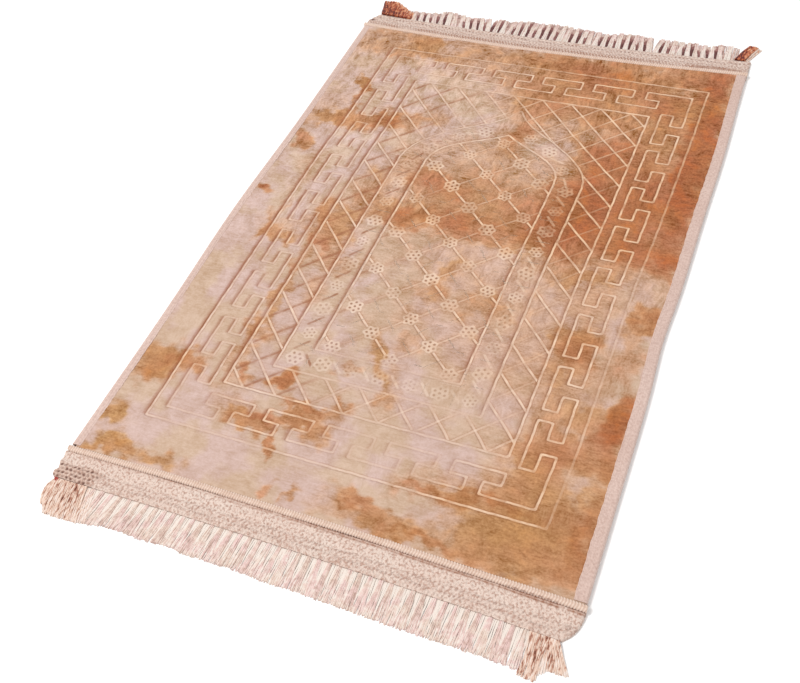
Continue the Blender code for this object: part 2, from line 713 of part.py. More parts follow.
def tail_strands(tail):
    """The strands of one tail, spread evenly between its first and its last."""
    count = tail.strands
    waist_pitch = abs(tail.waist[1] - tail.waist[0]) / (count - 1)
    tip_pitch = abs(tail.tip[1] - tail.tip[0]) / (count - 1)
    roots, waists, tips, reaches = (np.linspace(*pair, count) for pair in (
        tail.root, tail.waist, tail.tip, tail.reach))
    return [Strand(root=roots[k], waist=waists[k], tip=tips[k],
                   reach=reaches[k] + 1.6 * math.sin(2.4 * k),
                   root_width=tail.width * 0.9,
                   waist_width=min(tail.width * 1.1, waist_pitch - 0.4),
                   tip_width=min(tail.width * 1.3, tip_pitch - 0.4), height=tail.height)
            for k in range(count)]


def make_trim(end_name, side, ends, fringe, fold):
    make_cord(f"cord_{end_name}", side, ends.left[0].x, ends.right[0].x)
    make_band(f"band_{end_name}", side, ends, fringe, fold)
    fringed_strip(f"fringe_{end_name}", side, fringe, STRIP_TOP,
                  fringe_strands(side, fringe), "yarn")


def main():
    clear_scene()
    make_pad()
    make_tape("tape_left", -1, TAPE_TOP_LEFT)
    make_tape("tape_right", 1, TAPE_TOP_RIGHT)
    make_trim("near", -1, NEAR_ENDS, NEAR_FRINGE, NEAR_FOLD)
    make_trim("far", 1, FAR_ENDS, FAR_FRINGE, None)
    for tassel in TASSELS:
        strands = [strand for tail in tassel.tails for strand in tail_strands(tail)]
        fringed_strip(tassel.name, tassel.side, tassel.strip, tassel.top, strands, "dark_yarn")


main()
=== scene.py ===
# %% [markdown]
# A padded prayer rug lies on a pale floor. Its velvet face is copper and rose beige, with a
# niche, a key border and a lattice pressed into the pile by heat. Tapes bind the long sides,
# and each end has a corded roll, a woven heading and a knotted fringe.
# The imported solids come in first, and each of them is then stood for by a finer surface of
# the same form.

# %% The imported model
import math
from collections import namedtuple
from functools import partial

import bpy
import numpy as np
from mathutils import Matrix, Vector


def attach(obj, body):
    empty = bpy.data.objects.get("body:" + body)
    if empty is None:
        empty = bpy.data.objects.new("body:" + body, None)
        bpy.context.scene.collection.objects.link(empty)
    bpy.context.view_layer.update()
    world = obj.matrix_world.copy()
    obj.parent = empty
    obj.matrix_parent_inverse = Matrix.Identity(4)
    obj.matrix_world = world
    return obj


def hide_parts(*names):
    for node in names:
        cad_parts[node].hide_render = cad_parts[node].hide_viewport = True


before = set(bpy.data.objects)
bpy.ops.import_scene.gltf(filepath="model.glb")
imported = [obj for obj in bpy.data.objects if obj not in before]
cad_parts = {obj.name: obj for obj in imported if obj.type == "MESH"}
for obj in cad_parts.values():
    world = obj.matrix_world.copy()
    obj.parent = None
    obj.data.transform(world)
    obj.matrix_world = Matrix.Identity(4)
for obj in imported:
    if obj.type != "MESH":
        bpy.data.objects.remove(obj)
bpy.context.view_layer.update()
MM = 0.001
print("solids:", len(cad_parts))

# %% [markdown]
# The rug's outline isn't a true rectangle. The left side bows out, the right side swells and
# draws in again, and both ends are a little curved. These are the lines that the velvet was
# cut to, in millimetres, and every piece below is laid along them. In a trim, s is the
# distance out from the line where the velvet ends.

# %% The outline
Swell = namedtuple("Swell", "rise centre width")
LEFT_EDGE, RIGHT_EDGE = 355.0, 349.5
LEFT_BOW = Swell(6.0, -30.0, 170.0)
RIGHT_BULGE = Swell(2.5, 290.0, 110.0)
RIGHT_WAIST = Swell(-4.0, -110.0, 70.0)
NEAR_END, FAR_END, HALF_WIDTH = 508.0, 492.0, 350.0
NEAR_SLANT, NEAR_BEND, FAR_BEND = 2.5, 4.5, 11.0


def swelling(swell, t):
    """rise times a bell curve about the centre."""
    return swell.rise * np.exp(-((t - swell.centre) / swell.width) ** 2)


def left_edge(y):
    return -(LEFT_EDGE + swelling(LEFT_BOW, y))


def right_edge(y):
    return RIGHT_EDGE + swelling(RIGHT_BULGE, y) + swelling(RIGHT_WAIST, y)


def end_line(side, x):
    """Y of the velvet's near (-1) or far (+1) end: a shallow parabola."""
    t = x / HALF_WIDTH
    if side < 0:
        return -(NEAR_END + NEAR_SLANT * t + NEAR_BEND * t * t)
    return FAR_END + FAR_BEND * t * t


def out_from(side, x, s):
    """Y at the distance s outside the velvet."""
    return end_line(side, x) + side * s


print("width", round(float(right_edge(0.0) - left_edge(0.0)), 1), "mm")

# %% [markdown]
# Three kinds of surface make the whole rug. A slab is a grid of heights with a rim that steps
# down to the floor. A skin is a closed outline carried along a path and capped at both ends.
# A bunch is many thin yarns with four sides each. All of them are worked out as whole arrays
# and put into a mesh at once.

# %% Surfaces
def new_piece(name, points, faces, sharp=50.0):
    """A mesh from points in millimetres, with its faces turned outwards and shaded smooth."""
    points = np.asarray(points, dtype=float) * MM
    corners = np.array([face[:3] for face in faces])
    a, b, c = points[corners[:, 0]], points[corners[:, 1]], points[corners[:, 2]]
    if np.einsum("ij,ij->", a, np.cross(b, c)) < 0:
        faces = [face[::-1] for face in faces]
    mesh = bpy.data.meshes.new(name)
    mesh.from_pydata(points.tolist(), [], faces)
    mesh.update()
    mesh.shade_smooth()
    mesh.set_sharp_from_angle(angle=math.radians(sharp))
    piece = bpy.data.objects.new(name, mesh)
    bpy.context.scene.collection.objects.link(piece)
    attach(piece, "root")
    print(name, sum(len(face) - 2 for face in faces), "triangles")
    return piece


def grid_quads(rows, columns):
    """Quads between the points of a grid numbered row by row."""
    first = (np.arange(rows - 1)[:, None] * columns + np.arange(columns - 1)).ravel()
    return np.column_stack([first, first + 1, first + columns + 1, first + columns]).tolist()


def rim_of(rows, columns):
    """The grid's border points, counter-clockwise from the first."""
    ids = np.arange(rows * columns).reshape(rows, columns)
    return np.concatenate([ids[0, :-1], ids[:-1, -1], ids[-1, :0:-1], ids[:0:-1, 0]])


def slab(name, x, y, z, outlines):
    """A grid of heights, joined to outlines that step down round it and a flat face below."""
    rows, columns = z.shape
    upper = rim_of(rows, columns)
    points = [np.column_stack([x.ravel(), y.ravel(), z.ravel()])]
    faces = grid_quads(rows, columns)
    total = rows * columns
    for outline in outlines:
        lower = total + np.arange(len(outline))
        faces += np.column_stack([upper, lower, np.roll(lower, -1), np.roll(upper, -1)]).tolist()
        points.append(outline)
        total += len(outline)
        upper = lower
    faces.append(upper[::-1].tolist())
    return new_piece(name, np.vstack(points), faces)


def skin(name, sections):
    """A closed outline in each row of an array (rows, points, 3), joined and capped."""
    rows, count, _ = sections.shape
    here = (np.arange(rows - 1)[:, None] * count + np.arange(count)).ravel()
    beside = (np.arange(rows - 1)[:, None] * count + (np.arange(count) + 1) % count).ravel()
    faces = np.column_stack([here, beside, beside + count, here + count]).tolist()
    faces.append(list(range(count))[::-1])
    faces.append(list(range((rows - 1) * count, rows * count)))
    return new_piece(name, sections.reshape(-1, 3), faces)


def store(piece, name, values, rest=0.0):
    """Keeps a number, or three, for each point; points past the given ones get the rest."""
    count = len(piece.data.vertices)
    if isinstance(values, tuple):
        filled = np.full((count, 3), rest)
        filled[:np.size(values[0])] = np.column_stack([np.ravel(part) for part in values])
        made = piece.data.attributes.new(name, "FLOAT_VECTOR", "POINT")
        made.data.foreach_set("vector", filled.ravel())
    else:
        filled = np.full(count, rest)
        filled[:np.size(values)] = np.ravel(values)
        made = piece.data.attributes.new(name, "FLOAT", "POINT")
        made.data.foreach_set("value", filled)


# %% [markdown]
# The pressed pattern is charted in its own coordinates: u across and v along the rug,
# in millimetres. It leans a little on the velvet, and the cloth crept by up to 6 mm under the
# press, so a point of the rug is turned back into u and v before anything is measured.

# %% The chart of the pattern
FRAME_U, FRAME_V = 287.0, 442.0
KEY_OUT_U, KEY_OUT_V, KEY_BAND, KEY_GAP = 265.5, 420.0, 40.0, 11.0
INNER_U, INNER_V = 207.5, 357.0
ROW_PITCH, ROW_GAPS, ROW_BAR = 90.0, 5, 34.0
COLUMN_PITCH, COLUMN_GAPS, COLUMN_BAR = 94.0, 8, 38.0
LATTICE_PITCH = 51.0
ARCH_OUT_U, ARCH_OUT_BASE, ARCH_IN_U, ARCH_IN_BASE = 153.0, -310.0, 108.5, -266.0
ROSETTE_U, ROSETTE_V, ROSETTE_ROW = 44.0, 40.35, 67.6
# A crown's outline from its shoulder up: share of the half width, and v.
OUTER_CROWN = [(1.0, 155), (0.985, 172), (0.945, 187), (0.88, 203), (0.79, 218), (0.68, 233),
               (0.50, 254), (0.34, 270), (0.21, 283), (0.10, 299), (0.0, 320)]
INNER_CROWN = [(1.0, 155), (0.985, 170), (0.93, 184), (0.85, 195), (0.74, 206), (0.52, 221),
               (0.33, 232), (0.15, 243), (0.0, 255)]
# Where the chart's middle line lies on the rug, how wide it came out, and its shift along it.
CHART_MIDDLE, CHART_SLANT, CHART_BEND = 0.5, 0.0188, 1.2e-5
CHART_WIDTH, CHART_SPREAD, CHART_SHIFT = 0.997, 2.0e-5, 4.0
CREEP_X = 250.0
# The creep at a few y: across at -CREEP_X and at CREEP_X, then up at the same two. The values
# were measured, by matching the lines drawn here with the real ones block by block, and rounded.
CREEP = np.array([
    (-480, 3.0, 0.8, 2.9, 0.8), (-440, 3.4, 1.2, 2.9, 0.8), (-380, 3.9, 3.0, 0.0, -2.0),
    (-320, 2.6, 4.6, -0.4, 1.0), (-260, 2.8, 3.9, -0.4, 0.7), (-200, 2.5, 3.1, -0.2, 0.0),
    (-140, 2.8, 2.4, 1.5, 2.2), (-80, 2.5, 1.2, 1.5, 4.2), (-20, 1.7, 0.6, 4.0, 5.8),
    (40, 1.2, 1.8, 3.2, 2.8), (100, 1.1, 2.5, 3.6, 0.6), (160, 1.4, 2.2, 2.5, -0.5),
    (220, 4.0, 2.0, -0.5, -3.3), (280, 4.2, 1.7, -3.0, -3.8), (340, 4.2, 1.3, 0.3, -2.9),
    (400, 3.8, -0.6, 0.6, -2.4), (460, 3.8, -0.6, 0.6, -2.4),
])
Pull = namedtuple("Pull", "x y reach across up")
CROWN_PULL = Pull(-112.0, 290.0, 75.0, -3.3, 2.5)    # the niche's left shoulder slipped alone


def creep_at(x, y):
    """How far the cloth crept across and up at a point, between the rows of the table."""
    left, right, up_left, up_right = [np.interp(y, CREEP[:, 0], CREEP[:, k]) for k in range(1, 5)]
    share = np.clip((x + CREEP_X) / (2 * CREEP_X), -0.1, 1.1)
    slip = np.exp(-((x - CROWN_PULL.x) ** 2 + (y - CROWN_PULL.y) ** 2) / CROWN_PULL.reach ** 2)
    return (left + (right - left) * share + CROWN_PULL.across * slip,
            up_left + (up_right - up_left) * share + CROWN_PULL.up * slip)


def in_pattern(x, y):
    """u and v of a point on the rug: the creep and the slant are taken off x, and its width
    is evened. The third is v for the trellis in the panel, which crept across but not up."""
    across, up = creep_at(x, y)
    x, y = x - across, y - up
    middle = CHART_MIDDLE + CHART_SLANT * y + CHART_BEND * y * y
    width = CHART_WIDTH + CHART_SPREAD * y
    return (x - middle) / width, y - CHART_SHIFT, y + up - CHART_SHIFT


def wavering(u, v, held):
    """u, v and the trellis's v, moved by up to 0.5 mm by sines about 38, 17 and 9 mm long:
    soft pile gives way under a plate, so no line comes out as straight as it was cut."""
    pushed_u = (0.24 * np.sin(v / 6.0 + 1.3 * np.sin(u / 31.0)) + 0.14 * np.sin(v / 2.7 + u / 9.0)
                + 0.1 * np.sin(v / 1.45 + u / 5.0))
    pushed_v = (0.24 * np.sin(u / 6.5 + 1.2 * np.sin(v / 27.0)) + 0.14 * np.sin(u / 2.8 + v / 8.0)
                + 0.1 * np.sin(u / 1.55 + v / 6.0))
    return u + pushed_u, v + pushed_v, held + pushed_v


def rectangle(half_u, half_v):
    return [(-half_u, -half_v), (half_u, -half_v), (half_u, half_v), (-half_u, half_v)]


def arch(half, base, crown):
    """A niche: straight sides, round shoulders and a pointed top."""
    right = [(half * share, v) for share, v in crown]
    return [(-half, base), (half, base)] + right + [(-u, v) for u, v in right[-2::-1]]


def key_side(gaps, pitch, bar, length):
    """One side of the key as (t, level): level 0 is the outer line and 2 the inner one."""
    side = []
    for k in range(gaps):
        m = (k - (gaps - 1) / 2) * pitch
        side += [(m - KEY_GAP, 0), (m - KEY_GAP, 1), (m - bar, 1), (m - bar, 2),
                 (m + bar, 2), (m + bar, 1), (m + KEY_GAP, 1), (m + KEY_GAP, 0)]
    return side + [(length, 0)]


def key_border():
    """The closed line of linked T shapes between the two frames."""
    row = key_side(ROW_GAPS, ROW_PITCH, ROW_BAR, KEY_OUT_U)
    column = key_side(COLUMN_GAPS, COLUMN_PITCH, COLUMN_BAR, KEY_OUT_V)
    step = KEY_BAND / 2
    return ([(t, KEY_OUT_V - level * step) for t, level in row]
            + [(KEY_OUT_U - level * step, -t) for t, level in column]
            + [(-t, -KEY_OUT_V + level * step) for t, level in row]
            + [(-KEY_OUT_U + level * step, t) for t, level in column])


NICHE = arch(ARCH_OUT_U, ARCH_OUT_BASE, OUTER_CROWN)
PANEL = arch(ARCH_IN_U, ARCH_IN_BASE, INNER_CROWN)
INNER_FRAME = rectangle(INNER_U, INNER_V)
CLOSED_LINES = [rectangle(FRAME_U, FRAME_V), key_border(), INNER_FRAME, NICHE, PANEL]
print("closed lines:", len(CLOSED_LINES), "with", sum(map(len, CLOSED_LINES)), "corners")

# %% [markdown]
# A line that is 3 mm wide is finer than the grid of the velvet, so each point keeps its
# distance to the nearest line instead, and the material draws the line from that distance.
# The sign of the distance flips on crossing a line: it then runs straight through zero, and
# stays true between two points of the grid.

# %% Distances to the lines
def trough(distance, width):
    """1 on the line, falling as a bell curve."""
    return np.exp(-(distance / width) ** 2)


def line_field(u, v, paths):
    """Distance to the nearest side of any path, positive where an even number of sides lie to
    the right of the point and negative where an odd number does."""
    nearest = np.full(u.shape, 1e9)
    odd = np.zeros(u.shape, dtype=bool)
    for path in paths:
        for (u0, v0), (u1, v1) in zip(path, path[1:] + path[:1]):
            du, dv = u1 - u0, v1 - v0
            t = np.clip(((u - u0) * du + (v - v0) * dv) / (du * du + dv * dv), 0.0, 1.0)
            nearest = np.minimum(nearest, np.hypot(u - u0 - t * du, v - v0 - t * dv))
            if dv:
                odd ^= ((v0 > v) != (v1 > v)) & (u < u0 + (v - v0) * du / dv)
    return np.where(odd, -nearest, nearest)


def wave(phase, pitch):
    """A triangle wave that crosses zero at every whole phase, as steep as the distance is."""
    return pitch * np.arcsin(np.sin(np.pi * phase)) / np.pi


def diagonals(u, v, held):
    """Distances to the falling and to the rising lines of the lattice and of the trellis."""
    niche, panel = line_field(u, v, [NICHE]), line_field(u, v, [PANEL])
    in_lattice = (niche > 0) & (line_field(u, v, [INNER_FRAME]) < 0)
    across = LATTICE_PITCH / math.sqrt(2)
    falling = wave((u + v) / LATTICE_PITCH - 0.5, across)
    rising = wave((v - u) / LATTICE_PITCH - 0.5, across)
    a, b = u / (2 * ROSETTE_U), (held - ROSETTE_ROW) / (2 * ROSETTE_V)
    narrow = 2 * ROSETTE_U * ROSETTE_V / math.hypot(ROSETTE_U, ROSETTE_V)
    falling = np.where(in_lattice, falling, np.where(panel < 0, wave(b + a, narrow), 50.0))
    rising = np.where(in_lattice, rising, np.where(panel < 0, wave(b - a, narrow), 50.0))
    return falling, rising


# %% [markdown]
# Rosettes sit on the crossings of the trellis and climb the border between the two lines of
# the niche, with a short curved stroke from each to the next. For these, a point keeps where
# it lies from the nearest centre, as two numbers, and the material draws petals round it.

# %% Rosettes and strokes
Spot = namedtuple("Spot", "u v")
Rosette = namedtuple("Rosette", "u v turn size")
Stroke = namedtuple("Stroke", "u v turn")        # middle and slope of a stroke, in degrees
BORDER_PITCH, BORDER_ROWS = 47.5, 10
CROWN_SPOTS = [Spot(112.0, 188.0), Spot(78.0, 229.0), Spot(38.0, 253.0)]
CROWN_STROKES = [Stroke(125.0, 160.0, -65.0), Stroke(97.0, 210.0, -20.0),
                 Stroke(57.0, 243.0, -10.0)]
BORDER_TURN, ROSETTE_ROOM = -48.0, 11.0
MIDDLE = (ARCH_OUT_U + ARCH_IN_U) / 2
FOOT = (ARCH_OUT_BASE + ARCH_IN_BASE) / 2


def rosettes():
    """Each is turned and sized a little unlike its neighbours, by a sine of its number."""
    spots = []
    for row in range(-8, 5):
        for column in range(-2, 3):
            u, v = (2 * column + row % 2) * ROSETTE_U, ROSETTE_ROW + row * ROSETTE_V
            in_panel = line_field(np.array([u]), np.array([v]), [PANEL])[0] < 0
            if in_panel and abs(u) < ARCH_IN_U - ROSETTE_ROOM:
                spots.append(Spot(u, v))
    for side in (-1, 1):
        spots += [Spot(side * MIDDLE, FOOT + BORDER_PITCH * k) for k in range(BORDER_ROWS)]
        spots += [Spot(side * spot.u, spot.v) for spot in CROWN_SPOTS]
    spots += [Spot(u, FOOT) for u in np.linspace(-MIDDLE, MIDDLE, 7)[1:-1]]
    return [Rosette(spot.u, spot.v, 25.0 * math.sin(7.3 * k), 1.0 + 0.1 * math.sin(3.1 * k))
            for k, spot in enumerate(spots)]


def border_strokes():
    strokes = []
    for side in (-1, 1):
        strokes += [Stroke(side * MIDDLE, FOOT + BORDER_PITCH * (k + 0.5), side * BORDER_TURN)
                    for k in range(BORDER_ROWS - 1)]
        strokes += [Stroke(side * at.u, at.v, side * at.turn) for at in CROWN_STROKES]
    return strokes + [Stroke(u, FOOT, BORDER_TURN) for u in np.linspace(-MIDDLE, MIDDLE, 13)[1::2]]


def from_nearest(u, v, spots):
    """Offsets from the nearest of the spots, in its own turn and size, and its number."""
    nearest = np.full(u.shape, 1e9)
    off_u, off_v, number = np.full(u.shape, 1e4), np.full(u.shape, 1e4), np.zeros(u.shape)
    for k, spot in enumerate(spots):
        turn, size = math.radians(spot.turn), getattr(spot, "size", 1.0)
        du, dv = u - spot.u, v - spot.v
        closer = np.hypot(du, dv) < nearest
        nearest = np.where(closer, np.hypot(du, dv), nearest)
        off_u = np.where(closer, (du * math.cos(turn) + dv * math.sin(turn)) / size, off_u)
        off_v = np.where(closer, (dv * math.cos(turn) - du * math.sin(turn)) / size, off_v)
        number = np.where(closer, k, number)
    return off_u, off_v, number


SHADE_OFF, SHADE_WIDTH = 3.2, 2.8


def left_shade(u, v):
    """The brown shadow on the left of upright lines: a bell curve about 3 mm off each,
    strongest at the rug's left."""
    shade = np.zeros_like(u)
    for path in CLOSED_LINES:
        for (u0, v0), (u1, v1) in zip(path, path[1:] + path[:1]):
            if u0 == u1:
                beside = (v > min(v0, v1)) & (v < max(v0, v1))
                shade = np.maximum(shade, beside * trough(u - u0 + SHADE_OFF, SHADE_WIDTH))
    return shade * np.interp(u, [-290.0, -100.0, 100.0, 290.0], [1.0, 0.85, 0.6, 0.2])


ROSETTES, STROKES = rosettes(), border_strokes()
print("rosettes:", len(ROSETTES), "strokes:", len(STROKES))

# %% [markdown]
# The copper colour lies in patches, as crushed velvet shows where the pile is brushed one way
# or the other. Each patch is an ellipse with a rough edge: the point that is
# looked up is first pushed about by a few slow waves. A patch of negative strength wipes the
# colour out again.

# %% Patches of copper
# Each ellipse's middle, half length, half width and turn, then how copper it is, how golden
# and how crisp its edge.
Patch = namedtuple("Patch", "x y long wide turn strength gold crisp")
PATCHES = [Patch(*row) for row in (
    (-270, 458, 90, 34, 0, 0.42, 0.4, 5), (-215, 472, 22, 18, 0, 0.55, 0.7, 6),
    (-20, 468, 95, 20, 0, 0.26, 0.2, 6), (-170, 440, 75, 15, 0, 0.36, 0.3, 5),
    (100, 472, 130, 28, 0, 0.68, 0.3, 6), (130, 425, 110, 30, 0, 0.22, 0.3, 5),
    (210, 487, 28, 12, 0, -0.35, 0.0, 5), (290, 470, 52, 36, 0, 0.62, 0.25, 6),
    (150, 410, 190, 45, 0, 0.60, 0.35, 6), (-100, 410, 90, 26, 0, 0.22, 0.3, 4),
    (110, 348, 148, 34, 0, 0.46, 0.45, 7), (28, 265, 16, 24, 0, 0.45, 0.2, 6),
    (172, 255, 80, 52, -55, 0.75, 0.3, 6), (175, 190, 70, 40, 90, 0.40, 0.2, 5),
    (312, 255, 240, 25, 90, 0.88, 0.1, 9), (258, 330, 115, 36, 90, 0.62, 0.35, 5),
    (258, 115, 105, 34, 90, 0.78, 0.2, 6), (172, 95, 82, 60, 90, 0.88, 0.1, 7),
    (0, 85, 118, 66, 0, 0.50, 0.4, 7), (-82, 122, 26, 20, 0, 0.55, 0.1, 6),
    (-72, 37, 28, 16, 0, 0.55, 0.1, 6), (-5, 38, 36, 17, 0, 0.60, 0.0, 6),
    (62, 42, 40, 18, 0, 0.45, 0.2, 5), (-30, 100, 26, 14, 0, 0.35, 0.1, 5),
    (70, 85, 28, 22, 0, 0.30, 0.1, 5), (10, 180, 95, 34, 0, 0.30, 0.5, 4),
    (-72, 212, 52, 24, 20, 0.22, 0.8, 4), (88, 216, 40, 20, -33, -0.75, 0.0, 6),
    (15, 232, 24, 34, 0, 0.34, 0.4, 5), (-215, 240, 32, 20, 8, 0.70, 0.2, 9),
    (-290, 222, 46, 20, 0, 0.50, 0.4, 9), (-255, 228, 42, 22, 0, 0.42, 0.3, 8),
    (-172, 248, 30, 20, 0, 0.36, 0.3, 7), (-130, 268, 26, 22, 0, 0.36, 0.3, 6),
    (-337, 226, 30, 22, 0, 0.20, 0.5, 8), (-322, 262, 36, 40, 0, 0.22, 0.4, 4),
    (-287, 330, 27, 8, -55, 0.75, 0.7, 10), (-279, 285, 42, 5, 88, 0.50, 0.1, 7),
    (-331, 165, 23, 18, -60, 0.60, 0.2, 9), (-341, 27, 17, 9, -30, 0.90, 0.0, 10),
    (-165, 90, 26, 30, 0, 0.36, 0.3, 5), (-128, 40, 22, 24, 0, 0.40, 0.3, 6),
    (-310, 400, 40, 50, 0, 0.10, 0.5, 3), (-130, 150, 30, 22, 60, 0.28, 0.2, 4),
    (275, 165, 65, 62, 90, 0.42, 0.2, 5), (110, 195, 40, 18, -40, 0.30, 0.2, 5),
    (-75, 20, 24, 14, 0, 0.50, 0.1, 6), (-140, 12, 80, 16, 0, 0.34, 0.3, 5),
    (30, 10, 60, 14, 0, 0.36, 0.2, 5), (115, 35, 30, 20, 0, 0.42, 0.2, 6),
    (158, 14, 50, 14, 0, 0.34, 0.2, 6), (268, 42, 66, 22, 0, 0.55, 0.1, 7),
    (322, 28, 18, 26, 0, 0.55, 0.1, 7), (-288, 95, 40, 14, 90, 0.24, 0.3, 4),
    (-248, 485, 22, 9, 0, -0.35, 0.0, 5), (50, 489, 34, 9, 0, -0.35, 0.0, 5),
    (-70, 484, 24, 14, 0, -0.40, 0.0, 5), (150, 292, 34, 20, 20, -0.50, 0.0, 5),
    (-45, 330, 30, 20, 0, -0.40, 0.0, 4), (258, 432, 22, 14, 0, -0.40, 0.0, 5),
    (30, 300, 42, 66, 0, 0.34, 0.2, 5), (136, 75, 34, 76, 0, 0.30, 0.2, 5),
    (-170, 45, 22, 16, 0, 0.40, 0.2, 6), (-205, 250, 24, 24, 0, 0.34, 0.3, 6),
    (-110, 470, 44, 14, 0, 0.30, 0.3, 5), (140, 436, 46, 28, 0, 0.34, 0.3, 5),
    (220, 305, 30, 24, 0, 0.34, 0.3, 6), (337, 225, 10, 130, 0, 0.55, 0.1, 7),
    (-205, 490, 150, 9, 0, 0.30, 0.3, 6), (235, 498, 88, 9, 0, 0.30, 0.2, 6),
    (-125, 365, 76, 34, 0, -0.40, 0.0, 4), (-40, 190, 26, 16, 0, -0.45, 0.0, 5),
    (-250, 188, 20, 38, 0, -0.35, 0.0, 5), (-212, -5, 42, 12, 90, 0.45, 0.4, 7),
    (-180, -35, 40, 27, 90, 0.48, 0.3, 6), (-182, -66, 28, 10, -10, 0.40, 0.0, 8),
    (-265, -60, 30, 14, 0, 0.55, 0.4, 8), (-289, -35, 48, 6, 90, 0.50, 0.2, 7),
    (-209, -200, 135, 9, 90, 0.45, 0.5, 8), (-150, -95, 34, 16, 0, 0.36, 0.3, 5),
    (-155, -158, 28, 18, 90, 0.30, 0.2, 5), (20, -58, 14, 22, 0, 0.36, 0.5, 6),
    (95, -120, 40, 24, 0, 0.34, 0.5, 6), (0, -165, 30, 15, 0, 0.20, 0.1, 4),
    (12, -212, 18, 14, 0, 0.34, 0.2, 6), (-8, -258, 58, 11, -58, 0.50, 0.8, 7),
    (-50, -282, 16, 8, 0, 0.38, 0.0, 6), (215, -25, 40, 14, 0, 0.36, 0.3, 6),
    (238, -155, 30, 26, 90, 0.62, 0.2, 7), (240, -260, 165, 30, 90, 0.40, 0.5, 5),
    (255, -375, 60, 60, 0, 0.52, 0.6, 6), (314, -85, 28, 20, 90, 0.75, 0.4, 8),
    (8, -112, 22, 22, 0, 0.42, 0.3, 6), (320, -262, 43, 18, 75, 0.90, 0.3, 9),
    (300, -326, 50, 24, 0, 0.46, 0.4, 6), (286, -205, 40, 12, 90, 0.26, 0.7, 5),
    (326, -400, 90, 14, 90, 0.62, 0.5, 7), (262, -470, 82, 46, 0, 0.66, 0.75, 7),
    (160, -490, 46, 20, 0, 0.50, 0.6, 6), (190, -425, 76, 8, 2, 0.60, 0.4, 7),
    (80, -482, 70, 10, -11, 0.66, 0.5, 8), (25, -474, 25, 9, 0, 0.50, 0.4, 7),
    (110, -500, 60, 8, 0, 0.42, 0.6, 6), (-100, -430, 22, 5, 90, 0.70, 0.4, 8),
    (-36, -490, 14, 4, 80, 0.55, 0.0, 7), (-77, -495, 9, 6, 60, 0.50, 0.0, 7),
    (-72, -361, 35, 10, 0, 0.72, 0.2, 9), (-88, -384, 35, 11, 0, 0.65, 0.3, 8),
    (-140, -403, 35, 12, 0, 0.62, 0.6, 8), (-133, -388, 12, 10, 0, 0.55, 0.0, 8),
    (-165, -385, 32, 15, 0, 0.28, 0.3, 5), (-130, -325, 17, 13, 15, 0.82, 0.2, 10),
    (-184, -328, 22, 6, -65, 0.62, 0.1, 7), (-38, -345, 14, 7, -50, 0.50, 0.3, 7),
    (20, -318, 14, 9, 0, 0.32, 0.3, 6), (-318, -345, 33, 29, 0, 0.70, 0.85, 9),
    (-330, -372, 25, 14, 10, 0.50, 0.8, 7), (-277, -337, 22, 22, 0, 0.58, 0.2, 8),
    (-332, -448, 18, 16, -30, 0.65, 1.0, 7), (-282, -487, 26, 15, -20, 0.60, 1.0, 7),
    (-228, -498, 26, 11, 0, 0.55, 1.0, 7), (-310, -494, 26, 13, 0, 0.62, 0.9, 7),
    (-336, -502, 14, 6, 0, 0.50, 0.8, 6), (130, -40, 170, 46, 0, 0.30, 0.4, 4),
    (150, -175, 90, 80, 0, 0.26, 0.5, 4), (308, -362, 18, 14, 0, -0.5, 0.0, 5),
    (310, -160, 18, 44, 0, 0.42, 0.3, 6), (-318, -5, 24, 18, 0, -0.5, 0.0, 5),
    (300, -38, 18, 26, 0, -0.4, 0.0, 5), (300, -98, 14, 12, 0, -0.4, 0.0, 5),
    (-250, -30, 50, 14, 20, 0.30, 0.3, 5), (-195, -255, 18, 14, 0, 0.45, 0.3, 6),
    (290, -268, 30, 22, 0, 0.45, 0.3, 6), (-50, -388, 24, 18, 0, 0.50, 0.2, 7),
    (22, -275, 10, 14, 0, 0.30, 0.2, 5), (130, -436, 44, 10, 0, 0.40, 0.3, 6),
    (300, -425, 24, 26, 0, 0.34, 0.4, 5), (-215, -355, 30, 10, 0, 0.20, 0.2, 5),
    (-30, -474, 44, 14, 0, -0.6, 0.0, 5), (130, -484, 60, 7, 0, -0.4, 0.0, 5),
    (172, -72, 36, 12, -45, -0.4, 0.0, 5), (45, -492, 50, 12, 0, 0.36, 0.4, 6),
    (146, -422, 46, 22, 0, 0.34, 0.4, 5), (80, -25, 24, 26, 0, -0.40, 0.0, 5),
    (-300, -15, 22, 18, 0, -0.45, 0.0, 5), (-270, -45, 22, 16, 0, -0.40, 0.0, 5),
    (-335, -215, 14, 90, 0, -0.50, 0.0, 5), (-250, -250, 24, 40, 0, -0.40, 0.0, 5),
    (30, -460, 24, 12, 0, -0.45, 0.0, 5),
)]
Weak = namedtuple("Weak", "x y long wide turn loss")
LIGHTLY_PRESSED = [Weak(*row) for row in (
    (-85, 288, 70, 30, 32, 0.55), (-95, 222, 40, 24, 40, 0.3), (50, -396, 112, 30, 0, 0.65),
    (-215, -396, 50, 26, 0, 0.6), (-225, 408, 58, 30, 0, 0.35), (-180, -436, 115, 14, 0, 0.5),
    (-235, 120, 200, 28, 90, 0.15), (0, -263, 110, 11, 0, 0.7), (0, -307, 160, 9, 0, 0.55),
    (-60, 361, 160, 9, 0, 0.4), (-110, 448, 170, 12, 0, 0.35), (120, -290, 40, 24, 0, 0.35),
    (-250, -250, 160, 26, 90, 0.3), (2, 318, 12, 16, 0, 0.8), (288, 0, 440, 10, 89, 0.5),
    (281, -385, 60, 10, 89, 0.6), (120, 448, 190, 12, 1, 0.25), (70, -338, 120, 26, 0, 0.35),
)]
Ripple = namedtuple("Ripple", "length push heading")
RIPPLES = [Ripple(110, 4, 20), Ripple(61, 5, 70), Ripple(37, 4, 160), Ripple(23, 3, 40),
           Ripple(14, 2, 100)]


